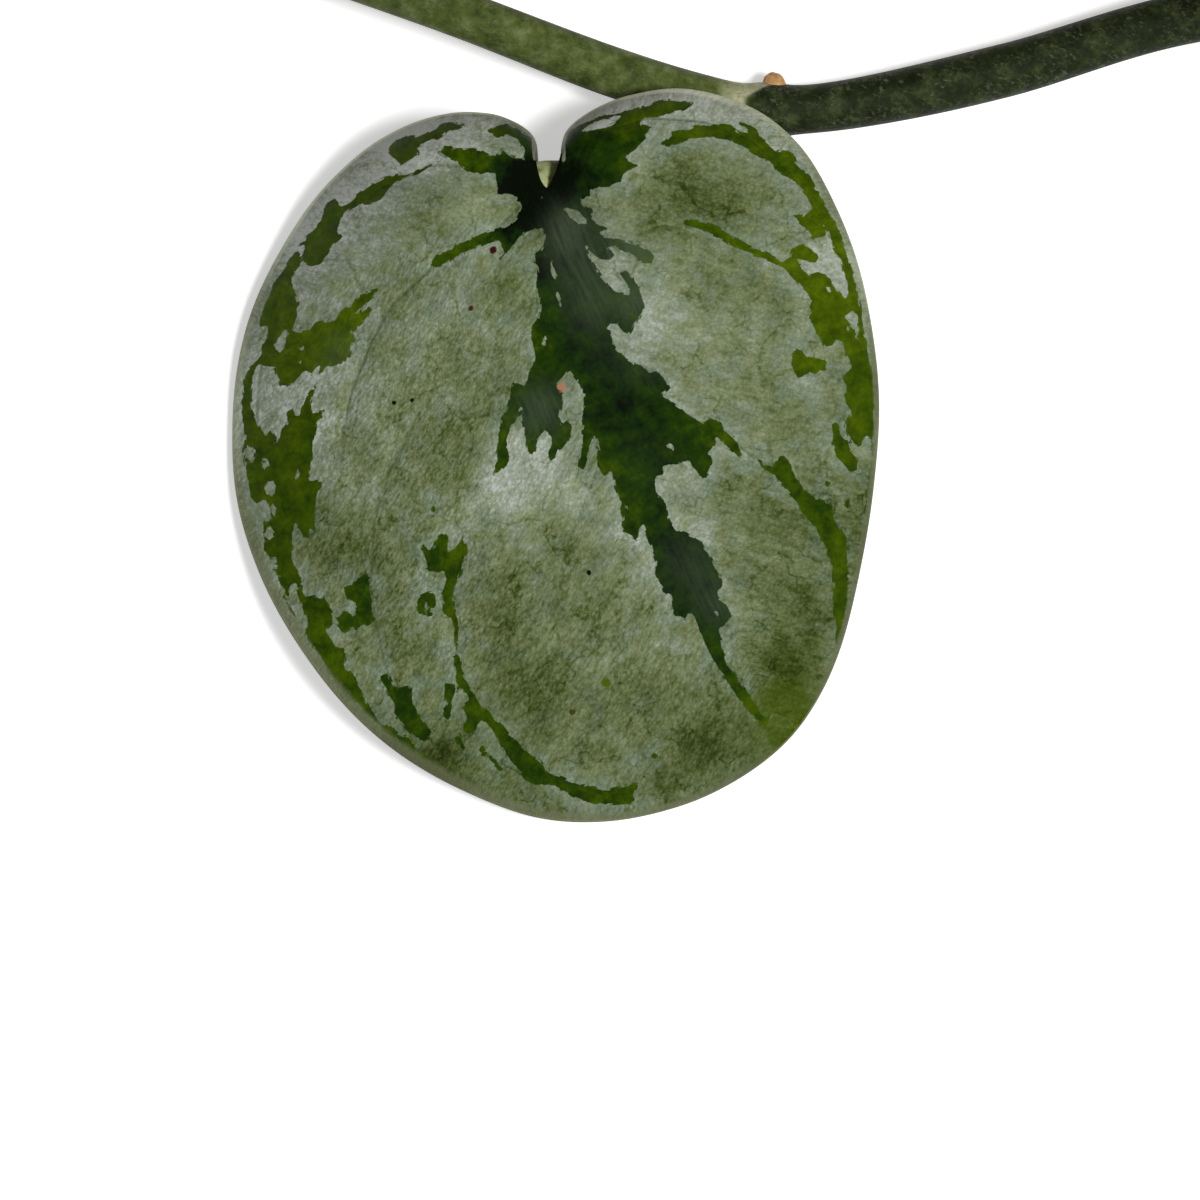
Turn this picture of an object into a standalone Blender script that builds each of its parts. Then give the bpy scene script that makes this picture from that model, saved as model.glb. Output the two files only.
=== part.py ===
"""Potted scindapsus: a plain nursery pot, its soil, seven vines and their leaves.

Metres, +Z up. The origin is the middle of the pot's flat underside, and +Y is the plant's back.
"""

import math

import bmesh
import bpy
import numpy as np

MM = 0.001

# --- Driving dimensions -------------------------------------------------------------------

FIT_GAP = 0.3 * MM          # clearance between pieces that rest on each other

POT_HEIGHT = 105 * MM
POT_FOOT_RADIUS = 42 * MM
POT_SHOULDER_RADIUS = 54 * MM
POT_RIM_RADIUS = 60 * MM
POT_COLLAR_HEIGHT = 18 * MM
POT_WALL = 2 * MM
POT_FACETS = 40
DRAIN_HOLES = 6
DRAIN_RADIUS = 5 * MM
DRAIN_CIRCLE_RADIUS = 27 * MM

SOIL_TOP = 91 * MM
SOIL_CROWN = 2.5 * MM       # how far the soil mounds up in the middle
STEM_FOOT = 78 * MM         # the height at which the stems start, inside the soil

STEM_RADIUS = 2.1 * MM
STEM_TIP_RADIUS = 1.1 * MM
STEM_SIDES = 6
STEM_RINGS_APART = 11.5 * MM

SHOWN_NODE = np.array([-12.7, -112.5, 2.7]) * MM    # the front vine's node by the leaf laid out in front

PETIOLE_RADIUS = 1.15 * MM
PETIOLE_SIDES = 5
BLADE_THICKNESS = 0.8 * MM
RIB_LENGTH = 0.22           # how far the petiole runs on under the blade, as a share of its length
RIB_DEPTH = 1.3 * MM        # how far the petiole's axis lies below the blade's upper face

POT_COLOUR = (0.42, 0.17, 0.09)
SOIL_COLOUR = (0.035, 0.024, 0.017)
STEM_COLOUR = (0.06, 0.09, 0.03)
LEAF_COLOUR = np.array([0.15, 0.19, 0.09])
YOUNG_LEAF_COLOUR = np.array([0.20, 0.27, 0.10])
LARGEST_LEAF = 48 * MM

# The blade's outline about the point where the petiole joins it: the angle from the tip in degrees,
# positive to the right, and the distance to the margin as a share of the length to the tip.
# The gap between the first and the last angle is the notch between the two lobes.
OUTLINE = [
    (-187, 0.075), (-180, 0.122), (-168, 0.152), (-152, 0.201), (-136, 0.265), (-120, 0.340),
    (-104, 0.436), (-88, 0.559), (-72, 0.699), (-56, 0.832), (-40, 0.970), (-24, 1.045),
    (-10, 1.040), (0, 0.998), (8, 0.915), (24, 0.739), (40, 0.610), (56, 0.517),
    (72, 0.443), (87, 0.376), (104, 0.276), (125, 0.169), (136, 0.123), (141, 0.070),
]


# --- Curves -------------------------------------------------------------------------------


def unit(v):
    """The vector v at length 1."""
    v = np.asarray(v, float)
    return v / np.linalg.norm(v)


def smooth_curve(points, steps=16):
    """Points along a Catmull-Rom curve that passes through all the given points."""
    p = np.asarray(points, float)
    p = np.vstack([2 * p[0] - p[1], p, 2 * p[-1] - p[-2]])
    t = np.linspace(0, 1, steps, endpoint=False)[:, None]
    parts = []
    for a, b, c, d in zip(p[:-3], p[1:-2], p[2:-1], p[3:]):
        parts.append(0.5 * (2 * b + (c - a) * t + (2 * a - 5 * b + 4 * c - d) * t**2
                            + (3 * b - a - 3 * c + d) * t**3))
    return np.vstack([*parts, p[-2:-1]])


class Route:
    """A smooth route through points in space, read by its length from the start."""

    def __init__(self, points):
        self.points = smooth_curve(points)
        steps = np.linalg.norm(np.diff(self.points, axis=0), axis=1)
        self.travel = np.concatenate([[0], np.cumsum(steps)])
        self.length = self.travel[-1]

    def at(self, travel):
        return np.array([np.interp(travel, self.travel, axis) for axis in self.points.T])

    def heading(self, travel, reach=2 * MM):
        return unit(self.at(min(travel + reach, self.length)) - self.at(max(travel - reach, 0)))

    def travel_near(self, point):
        """The length along the route at which it passes closest to a point."""
        return self.travel[np.argmin(np.linalg.norm(self.points - np.asarray(point), axis=1))]

    def evenly(self, apart):
        count = max(2, round(self.length / apart) + 1)
        return np.array([self.at(s) for s in np.linspace(0, self.length, count)])


# --- Meshes -------------------------------------------------------------------------------


def new_object(name, vertices, faces, colour, roughness):
    """An object with its own Principled material, its faces turned outwards."""
    mesh = bpy.data.meshes.new(name)
    mesh.from_pydata([tuple(v) for v in vertices], [], [tuple(f) for f in faces])
    work = bmesh.new()
    work.from_mesh(mesh)
    bmesh.ops.recalc_face_normals(work, faces=work.faces)
    work.to_mesh(mesh)
    work.free()
    mesh.shade_smooth()
    mesh.set_sharp_from_angle(angle=math.radians(40))
    paint = bpy.data.materials.new(name)
    paint.use_nodes = True
    shader = paint.node_tree.nodes["Principled BSDF"]
    shader.inputs["Base Color"].default_value = (*colour, 1)
    shader.inputs["Roughness"].default_value = roughness
    mesh.materials.append(paint)
    made = bpy.data.objects.new(name, mesh)
    bpy.context.scene.collection.objects.link(made)
    return made


def tube(points, radii, sides):
    """Vertices and faces of a closed tube: rings turned as little as possible along the points."""
    points = np.asarray(points, float)
    heading = np.gradient(points, axis=0)
    heading /= np.linalg.norm(heading, axis=1)[:, None]
    side = np.cross(heading[0], [0.31, 0.17, 0.93])
    turn = np.linspace(0, 2 * math.pi, sides, endpoint=False)[:, None]
    vertices = []
    for point, ahead, radius in zip(points, heading, radii):
        side = unit(side - ahead * np.dot(side, ahead))
        up = np.cross(ahead, side)
        vertices.append(point + radius * (np.cos(turn) * side + np.sin(turn) * up))
    faces = []
    for ring in range(len(points) - 1):
        for k in range(sides):
            a, b = ring * sides + k, ring * sides + (k + 1) % sides
            faces.append((a, b, b + sides, a + sides))
    last = (len(points) - 1) * sides
    faces.append(range(sides - 1, -1, -1))
    faces.append(range(last, last + sides))
    return np.vstack(vertices), faces


def turned(profile, facets):
    """Vertices and faces of a closed profile of (radius, height) points turned about +Z."""
    vertices, faces = [], []
    for k in range(facets):
        angle = 2 * math.pi * k / facets
        for radius, height in profile:
            vertices.append((radius * math.cos(angle), radius * math.sin(angle), height))
    rows = len(profile)
    for k in range(facets):
        here, there = k * rows, (k + 1) % facets * rows
        for j in range(rows):
            j2 = (j + 1) % rows
            faces.append((here + j, here + j2, there + j2, there + j))
    return vertices, faces


def as_guide(made):
    """Marks an object that only cuts or joins: it stays out of the render."""
    made.hide_render = True
    made.display_type = "WIRE"
    return made


def cylinder(name, centre, radius, low, high, sides=16):
    """An upright cylinder to cut with."""
    points = [(centre[0], centre[1], low), (centre[0], centre[1], high)]
    return as_guide(new_object(name, *tube(points, [radius, radius], sides), (1, 0, 0), 1))


def combine(target, other, operation):
    modifier = target.modifiers.new(operation.lower(), "BOOLEAN")
    modifier.operation = operation
    modifier.solver = "EXACT"
    modifier.object = other


# --- Pot and soil -------------------------------------------------------------------------


def wall_radius(height):
    """The pot wall's outer radius below its collar."""
    share = height / (POT_HEIGHT - POT_COLLAR_HEIGHT)
    return POT_FOOT_RADIUS + (POT_SHOULDER_RADIUS - POT_FOOT_RADIUS) * share


def make_pot():
    collar_foot = POT_HEIGHT - POT_COLLAR_HEIGHT
    step = 1.5 * MM
    profile = [
        (1 * MM, 0),
        (POT_FOOT_RADIUS - step, 0),
        (POT_FOOT_RADIUS, step),
        (POT_SHOULDER_RADIUS, collar_foot),
        (POT_RIM_RADIUS - 2 * MM, collar_foot + 0.5 * MM),
        (POT_RIM_RADIUS - 0.5 * MM, POT_HEIGHT - 4 * MM),
        (POT_RIM_RADIUS, POT_HEIGHT - 3 * MM),
        (POT_RIM_RADIUS, POT_HEIGHT - 1 * MM),
        (POT_RIM_RADIUS - 1 * MM, POT_HEIGHT),
        (POT_RIM_RADIUS - POT_WALL - 0.5 * MM, POT_HEIGHT),
        (POT_RIM_RADIUS - POT_WALL - 1.5 * MM, POT_HEIGHT - 1 * MM),
        (POT_SHOULDER_RADIUS - POT_WALL + 1.5 * MM, collar_foot + 3 * MM),
        (POT_SHOULDER_RADIUS - POT_WALL, collar_foot),
        (wall_radius(POT_WALL) - POT_WALL - 1 * MM, POT_WALL),
        (1 * MM, POT_WALL),
    ]
    vertices, faces = turned(profile, POT_FACETS)
    # The turned wall is closed by the two discs in the middle of its floor.
    rows = len(profile)
    faces = [f for f in faces if not {0, rows - 1} <= {i % rows for i in f}]
    faces.append([k * rows for k in range(POT_FACETS)])
    faces.append([k * rows + rows - 1 for k in range(POT_FACETS)])
    pot = new_object("pot", vertices, faces, POT_COLOUR, 0.6)
    for k in range(DRAIN_HOLES):
        angle = 2 * math.pi * (k + 0.5) / DRAIN_HOLES
        centre = (DRAIN_CIRCLE_RADIUS * math.cos(angle), DRAIN_CIRCLE_RADIUS * math.sin(angle))
        hole = cylinder(f"drain_cutter_{k}", centre, DRAIN_RADIUS, -5 * MM, 8 * MM)
        combine(pot, hole, "DIFFERENCE")


def make_soil(vines):
    collar_foot = POT_HEIGHT - POT_COLLAR_HEIGHT
    floor = POT_WALL + FIT_GAP
    inside = POT_WALL + 1.5 * FIT_GAP
    profile = [
        (wall_radius(floor) - inside - 1.2 * MM, floor),
        (POT_SHOULDER_RADIUS - inside, collar_foot - 1 * MM),
        (POT_SHOULDER_RADIUS - inside, SOIL_TOP - 1 * MM),
        (POT_SHOULDER_RADIUS - inside - 2 * MM, SOIL_TOP),
        (POT_SHOULDER_RADIUS * 0.5, SOIL_TOP + SOIL_CROWN),
    ]
    facets = 32
    vertices, faces = turned(profile, facets)
    rows = len(profile)
    faces = [f for f in faces if not {0, rows - 1} <= {i % rows for i in f}]
    faces.append([k * rows for k in range(facets)])
    faces.append([k * rows + rows - 1 for k in range(facets)])
    soil = new_object("soil", vertices, faces, SOIL_COLOUR, 0.95)
    for name, vine in vines.items():
        foot = vine.route.at(0)
        socket = cylinder(f"{name}_socket", foot, STEM_RADIUS + FIT_GAP, STEM_FOOT - FIT_GAP, 0.1, 12)
        combine(soil, socket, "DIFFERENCE")


# --- Vines --------------------------------------------------------------------------------


def away_from_pot(point, heading):
    """The way a vine's leaves face at a point: up, and outwards where it hangs beside the pot."""
    radial = np.array([point[0], point[1], 0])
    radial /= max(np.linalg.norm(radial), 1 * MM)
    lean = min(1.0, max(0.0, point[2] / (60 * MM))) * 0.55
    facing = np.array([0, 0, 1.0]) + lean * radial
    facing -= heading * np.dot(facing, heading)
    return unit(facing)


class Leaf:
    """Where one leaf sits: its base and tip direction, its face, and its petiole's route."""

    def __init__(self, base, towards_tip, face, length, lopsided, dome, petiole):
        self.base = np.asarray(base, float)
        self.down = unit(towards_tip)
        face = np.asarray(face, float)
        self.face = unit(face - self.down * np.dot(face, self.down))
        self.right = np.cross(self.face, self.down)
        self.length = length
        self.lopsided = lopsided
        self.dome = dome
        self.petiole = petiole


class Vine:
    """A stem's route and the leaves that it carries, each at a node on alternating sides.

    Each node is (travel along the stem from zero_travel, blade length, spread), in millimetres and
    degrees: spread turns the blade's tip away from the stem's heading.
    """

    def __init__(self, route, nodes, first_side=1, petiole=14 * MM, placed=None, zero_travel=0.0):
        self.route = route
        self.leaves = []
        for k, (node, length, spread) in enumerate(nodes):
            travel = zero_travel + node * MM
            side = first_side * (-1) ** k
            fixed = (placed or {}).get(k, {})
            self.leaves.append(self.plan_leaf(travel, length * MM, spread, side, petiole, k, **fixed))

    def radius_at(self, travel):
        share = travel / self.route.length
        return STEM_RADIUS + (STEM_TIP_RADIUS - STEM_RADIUS) * share**4

    def plan_leaf(self, travel, length, spread, side, petiole, k, leave=None, base=None,
                  towards_tip=None, blade_face=None, lopsided=None, bow=0.4):
        node = self.route.at(travel)
        ahead = self.route.heading(travel)
        face = away_from_pot(node, ahead)
        across = np.cross(face, ahead) * side
        if leave is None:
            leave = 0.70 * across + 0.60 * face
        if base is None:
            base = node + petiole * unit(0.40 * ahead + 0.75 * across + 0.5 * face)
        if towards_tip is None:
            turn = math.radians(spread)
            towards_tip = math.cos(turn) * ahead + math.sin(turn) * across + 0.08 * face
        if blade_face is None:
            blade_face = face + 0.10 * across
        if lopsided is None:
            lopsided = side * (0.6 + 0.3 * math.cos(2.3 * k))
        leave = unit(leave - ahead * np.dot(leave, ahead))
        leaf = Leaf(base, towards_tip, blade_face, length, lopsided, 0.12, None)
        start = node + leave * (self.radius_at(travel) + FIT_GAP)
        leaf.petiole = self.petiole_route(start, leave, leaf, bow)
        return leaf

    def petiole_route(self, start, leave, leaf, bow):
        """From the stem's skin in an arc to the notch, then on under the middle of the blade."""
        below = leaf.base - RIB_DEPTH * leaf.face
        reach = bow * np.linalg.norm(below - start)
        return Route([
            start,
            start + leave * reach,
            below - leaf.down * reach * 0.6 - leaf.face * 0.6 * MM,
            below + leaf.down * 1 * MM,
            below + leaf.down * RIB_LENGTH * leaf.length,
        ])


def hanging_route(azimuth, foot_radius, profile, swing=0.0):
    """A route in the upright plane at an azimuth in degrees, which swings sideways as it falls."""
    points = []
    stations = [(foot_radius, height) for height in (STEM_FOOT / MM, 86, 94)] + profile
    for k, (radius, height) in enumerate(stations):
        angle = math.radians(azimuth + swing * (k / (len(stations) - 1)) ** 2)
        points.append((radius * MM * math.cos(angle), radius * MM * math.sin(angle), height * MM))
    return Route(points)


def trailing_route():
    """The longest vine: over the front of the rim, down to the surface and along it to the left."""
    points = [
        (15, -14, 78), (15, -14, 86), (15, -14, 95), (18, -17, 110), (28, -30, 123), (44, -47, 126),
        (57, -62, 112), (64, -72, 84),
        (66, -80, 52), (64, -88, 24), (56, -97, 8), (42, -103, 3.2), (21.2, -104.2, 2.8),
        (5.8, -109.0, 2.6), (-5.8, -111.9, 2.6), (-12.7, -112.5, 2.7), (-17.3, -111.6, 2.9),
        (-25.0, -109.0, 4.0), (-38.8, -103.8, 6.5), (-55, -98.5, 7), (-72, -94, 4.5), (-88, -90, 3),
        (-105, -83, 2.8), (-128, -78, 3.2),
    ]
    return Route([np.array(p) * MM for p in points])


def plan_vines():
    """All the vines. Routes and nodes are in millimetres."""
    low = [(24, 108), (36, 119), (51, 123), (67, 115), (78, 97), (84, 75), (87, 50)]
    high = [(24, 112), (33, 134), (47, 147), (65, 148), (82, 134), (93, 111), (98, 84)]
    short = [(24, 110), (35, 124), (50, 130), (65, 125), (76, 107), (82, 85)]
    upright = [(8, 112), (15, 134), (28, 151), (46, 158)]
    laid = {
        # These three lie on the surface beside the stem, each on its own side.
        4: {
            "base": np.array([78, -98, 15.5]) * MM, "towards_tip": (0.82, -0.56, -0.12),
            "blade_face": (0.05, 0, 1),
        },
        5: {
            "base": np.array([34, -90, 10]) * MM, "towards_tip": (0.35, 0.93, -0.03),
            "blade_face": (0, 0, 1),
        },
        # The leaf that lies out in front, face up, its tip lowest.
        6: {
            "leave": (0, -1, 0.1), "bow": 0.2, "base": np.array([-29.1, -118.3, 12.5]) * MM,
            "towards_tip": (0.393, -0.912, -0.113), "blade_face": (0, 0, 1), "lopsided": 1.0,
        },
    }
    front = trailing_route()
    return {
        "vine_front": Vine(front, [
            (-238, 38, 40), (-205, 44, 40), (-170, 46, 40), (-135, 44, 40), (-85, 46, 50), (-42, 42, 60),
            (0, 46.4, 60), (40, 44, 60), (78, 42, 50), (110, 32, 40),
        ], placed=laid, zero_travel=front.travel_near(SHOWN_NODE)),
        "vine_right": Vine(hanging_route(35, 20, low, -10),
                           [(42, 38, 50), (70, 44, 40), (98, 46, 40), (124, 42, 40), (146, 34, 30)], -1),
        "vine_back_right": Vine(hanging_route(92, 21, high, 12),
                                [(42, 40, 85), (80, 46, 45), (110, 48, 40), (140, 44, 40), (165, 34, 30)]),
        "vine_back_left": Vine(hanging_route(146, 20, low, 8),
                               [(42, 38, 50), (70, 44, 40), (98, 46, 40), (122, 40, 40), (148, 32, 30)], -1),
        "vine_left": Vine(hanging_route(200, 21, high, -6),
                          [(42, 32, 70), (80, 46, 45), (110, 46, 40), (140, 42, 40), (165, 34, 30)]),
        "vine_left_front": Vine(hanging_route(252, 20, short, 6),
                                [(44, 38, 50), (74, 44, 40), (102, 42, 40), (122, 32, 30)], -1),
        "vine_middle": Vine(hanging_route(20, 6, upright, 20), [(58, 38, 80), (74, 38, 60), (91, 30, 40)]),
    }


# --- Leaves -------------------------------------------------------------------------------


def outline_at(share, lopsided):
    """The margin's point at a share of the way from the left of the notch round to its right.

    A lopsided value of 1 gives the outline as listed, and -1 its mirror image.
    """
    angles = np.radians([angle for angle, _ in OUTLINE])
    radii = np.array([radius for _, radius in OUTLINE])
    steps = np.linspace(0, 1, len(OUTLINE))

    def margin(s):
        angle, radius = np.interp(s, steps, angles), np.interp(s, steps, radii)
        return np.array([radius * np.sin(angle), -radius * np.cos(angle)])

    right, left = margin(share), margin(1 - share) * np.array([-1, 1])
    return (1 + lopsided) / 2 * right + (1 - lopsided) / 2 * left


def blade_height(x, y, rim_share, dome):
    """The upper face's height over the leaf's plane, in blade lengths.

    The middle is nearly flat and the margin rolls down. The base is a shallow funnel about the
    petiole, between two raised lobes, and the midrib runs from it in a valley.
    """
    roll = -dome * rim_share**3
    from_base = math.hypot(x, y)
    lobes = 0.055 * math.exp(-((from_base - 0.16) / 0.14) ** 2)
    valley = -0.02 * math.exp(-(x / 0.05) ** 2) * (1 - rim_share)
    return roll + lobes * (1 - 0.6 * rim_share) + valley


def blade_mesh(leaf, around, rings):
    """The blade as a closed shell: an upper and a lower face on one grid, and the margin between."""
    vertices, faces = [], []

    def place(x, y, z, down):
        point = leaf.base + leaf.length * (x * leaf.right - y * leaf.down + z * leaf.face)
        return point - down * leaf.face

    levels = (0, BLADE_THICKNESS)
    shares = np.linspace(0, 1, around + 1)
    size = 1 + (around + 1) * len(rings)
    for down in levels:
        vertices.append(place(0, 0, blade_height(0, 0, 0, leaf.dome), down))
        for ring in rings:
            for share in shares:
                x, y = ring * outline_at(share, leaf.lopsided)
                vertices.append(place(x, y, blade_height(x, y, ring, leaf.dome), down))
    for level in range(2):
        first = level * size
        for k in range(around):
            faces.append((first, first + 1 + k, first + 2 + k))
            for ring in range(len(rings) - 1):
                a = first + 1 + ring * (around + 1) + k
                b = a + around + 1
                faces.append((a, b, b + 1, a + 1))
    last = 1 + (len(rings) - 1) * (around + 1)
    for k in range(around):
        a = last + k
        faces.append((a, a + 1, a + 1 + size, a + size))
    for edge in (0, around):
        line = [0] + [1 + ring * (around + 1) + edge for ring in range(len(rings))]
        for a, b in zip(line[:-1], line[1:]):
            faces.append((a, b, b + size, a + size))
    return vertices, faces


def make_leaf(name, leaf, around=16, rings=(0.65, 1.0)):
    youth = np.clip((LARGEST_LEAF - leaf.length) / (20 * MM), 0, 1)
    green = LEAF_COLOUR + (YOUNG_LEAF_COLOUR - LEAF_COLOUR) * youth
    blade = new_object(name, *blade_mesh(leaf, around, rings), green, 0.5)
    stalk_points = leaf.petiole.evenly(leaf.petiole.length / 6)
    radii = PETIOLE_RADIUS * np.interp(np.linspace(0, 1, len(stalk_points)), [0, 0.7, 1], [1.1, 1, 0.5])
    stalk = new_object(f"{name}_stalk", *tube(stalk_points, radii, PETIOLE_SIDES), green, 0.5)
    combine(blade, as_guide(stalk), "UNION")


def make_stem(name, vine):
    points = vine.route.evenly(STEM_RINGS_APART)
    travel = np.linspace(0, vine.route.length, len(points))
    radii = [vine.radius_at(s) for s in travel]
    new_object(name, *tube(points, radii, STEM_SIDES), STEM_COLOUR, 0.6)


def main():
    """Builds the pot, the soil and each vine with its leaves, numbered from the front vine on."""
    for old in list(bpy.data.objects):
        bpy.data.objects.remove(old)
    vines = plan_vines()
    make_pot()
    make_soil(vines)
    number = 1
    for name, vine in vines.items():
        make_stem(name, vine)
        for leaf in vine.leaves:
            make_leaf(f"leaf_{number:02d}", leaf)
            number += 1


main()
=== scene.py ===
# %% [markdown]
# # A potted scindapsus
#
# One leaf of this plant, with the stretch of stem that carries it, lies out in front of the pot. The
# camera looks straight down on it. The rest of the plant is built from the same functions: a few
# routes for the stems, one surface for every leaf, one set of marks for the silver and green.
#
# All lengths are in metres, except where a name or a comment says millimetres. Z is up, and the
# origin is the middle of the pot's underside.

import math

import bpy
import numpy as np
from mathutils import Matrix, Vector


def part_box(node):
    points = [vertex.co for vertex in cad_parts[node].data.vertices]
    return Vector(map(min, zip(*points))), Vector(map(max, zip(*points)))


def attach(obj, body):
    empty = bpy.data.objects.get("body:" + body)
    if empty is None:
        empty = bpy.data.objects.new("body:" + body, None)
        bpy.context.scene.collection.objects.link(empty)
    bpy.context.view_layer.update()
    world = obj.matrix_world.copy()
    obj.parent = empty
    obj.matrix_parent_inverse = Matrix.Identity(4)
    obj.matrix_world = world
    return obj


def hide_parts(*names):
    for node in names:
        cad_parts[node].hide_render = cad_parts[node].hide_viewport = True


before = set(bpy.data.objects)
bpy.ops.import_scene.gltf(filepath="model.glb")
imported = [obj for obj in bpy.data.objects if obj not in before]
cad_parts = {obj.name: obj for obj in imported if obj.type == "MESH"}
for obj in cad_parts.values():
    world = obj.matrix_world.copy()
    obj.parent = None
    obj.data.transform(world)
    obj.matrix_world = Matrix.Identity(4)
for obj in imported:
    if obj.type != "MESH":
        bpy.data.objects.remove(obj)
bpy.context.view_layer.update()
MM = 0.001
print("frame:", len(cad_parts), "nodes")

# %% [markdown]
# ## Curves
#
# A stem or a leaf stalk follows a smooth curve through a few given points. `Route` reads such
# a curve by its length, because leaves, rings and colours are placed by how far along it they are.

# %% Directions, smooth steps and smooth curves


def unit(v):
    """v / |v|, row by row for an array of vectors."""
    v = np.asarray(v, float)
    return v / np.linalg.norm(v, axis=-1, keepdims=True)


def smoothstep(x, low, high):
    """0 below low, 1 above high, 3t^2 - 2t^3 between."""
    t = np.clip((np.asarray(x, float) - low) / (high - low), 0, 1)
    return t * t * (3 - 2 * t)


def smooth_curve(points, steps=16):
    """Catmull-Rom curve: between b and c, of the four points a, b, c and d, it is a cubic in t that
    passes through b and c, where its tangents are (c - a) / 2 and (d - b) / 2."""
    p = np.asarray(points, float)
    p = np.vstack([2 * p[0] - p[1], p, 2 * p[-1] - p[-2]])
    a, b, c, d = (p[k : len(p) - 3 + k, None] for k in range(4))
    t = np.linspace(0, 1, steps, endpoint=False)[:, None]
    cubic = (3 * b - a - 3 * c + d) * t**3
    spans = 0.5 * (2 * b + (c - a) * t + (2 * a - 5 * b + 4 * c - d) * t**2 + cubic)
    return np.vstack([spans.reshape(-1, p.shape[1]), p[-2:-1]])


print("a smooth step is at", smoothstep(0.25, 0, 1), "a quarter of the way")

# %% A route, read by its length


class Route:
    """A smooth route through points in space, read by its length from the start."""

    def __init__(self, points):
        self.points = smooth_curve(points)
        steps = np.linalg.norm(np.diff(self.points, axis=0), axis=1)
        self.travel = np.concatenate([[0], np.cumsum(steps)])
        self.length = self.travel[-1]

    def at(self, travel):
        """The point at this length along the route, or one point for each of an array."""
        return np.stack([np.interp(travel, self.travel, axis) for axis in self.points.T], axis=-1)

    def heading(self, travel, reach=2 * MM):
        """The way from the point `reach` before to the point `reach` after."""
        return unit(self.at(min(travel + reach, self.length)) - self.at(max(travel - reach, 0)))

    def travel_near(self, point):
        """The length at which the route comes nearest to a point."""
        return self.travel[np.argmin(np.linalg.norm(self.points - np.asarray(point), axis=1))]


bend = Route([(0, 0), (1, 1), (2, 0)])
print("a bend from (0, 0) over (1, 1) to (2, 0) is", round(bend.length, 3), "long")

# %% [markdown]
# ## Where everything goes
#
# The plan of the plant is the one that the CAD solids were made from: seven stems, and on each stem
# a leaf at every node, left and right in turn. A leaf is a base point, the way its tip points, the
# way its face looks, a length and a stalk.

# %% The plant's measures, and the way its leaves face
# FIT_GAP is left where one piece would touch the next, such as a leaf's stalk and its stem. Below the
# blade the stalk runs on as a rib, RIB_DEPTH under the blade's face and for RIB_LENGTH of its length.
# SHOWN_NODE is the node of the leaf that lies out in front.
FIT_GAP = 0.3 * MM
STEM_RADIUS = 2.1 * MM
STEM_TIP_RADIUS = 1.1 * MM
PETIOLE_LENGTH = 14 * MM
RIB_LENGTH = 0.22
RIB_DEPTH = 1.3 * MM
SHOWN_NODE = np.array([-12.7, -111.95, 2.7]) * MM
MOST_LEAN = 0.55
LEAN_HEIGHT = 60 * MM


def away_from_pot(point, heading):
    """The way leaves face: (0, 0, 1) + lean * (outwards), made square to the stem. The lean grows
    with height, up to MOST_LEAN at LEAN_HEIGHT."""
    radial = np.array([point[0], point[1], 0])
    radial /= max(np.linalg.norm(radial), 1 * MM)
    lean = min(1.0, max(0.0, point[2] / LEAN_HEIGHT)) * MOST_LEAN
    facing = np.array([0, 0, 1.0]) + lean * radial
    return unit(facing - heading * np.dot(facing, heading))


rim_leaf = away_from_pot(np.array([60, 0, 105]) * MM, np.array([0, 1.0, 0]))
print("a leaf at the pot's right rim faces", rim_leaf.round(2))

# %% A leaf, and a stem with its leaves


class Leaf:
    """Where one leaf sits: its base, the ways of its tip (down), its face and its right side, and its
    length. lopsided is 1 for the listed outline and -1 for its mirror image."""

    def __init__(self, base, towards_tip, face, length, lopsided):
        self.base = np.asarray(base, float)
        self.down = unit(towards_tip)
        face = np.asarray(face, float)
        self.face = unit(face - self.down * np.dot(face, self.down))
        self.right = np.cross(self.face, self.down)
        self.length = length
        self.lopsided = lopsided


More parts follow.
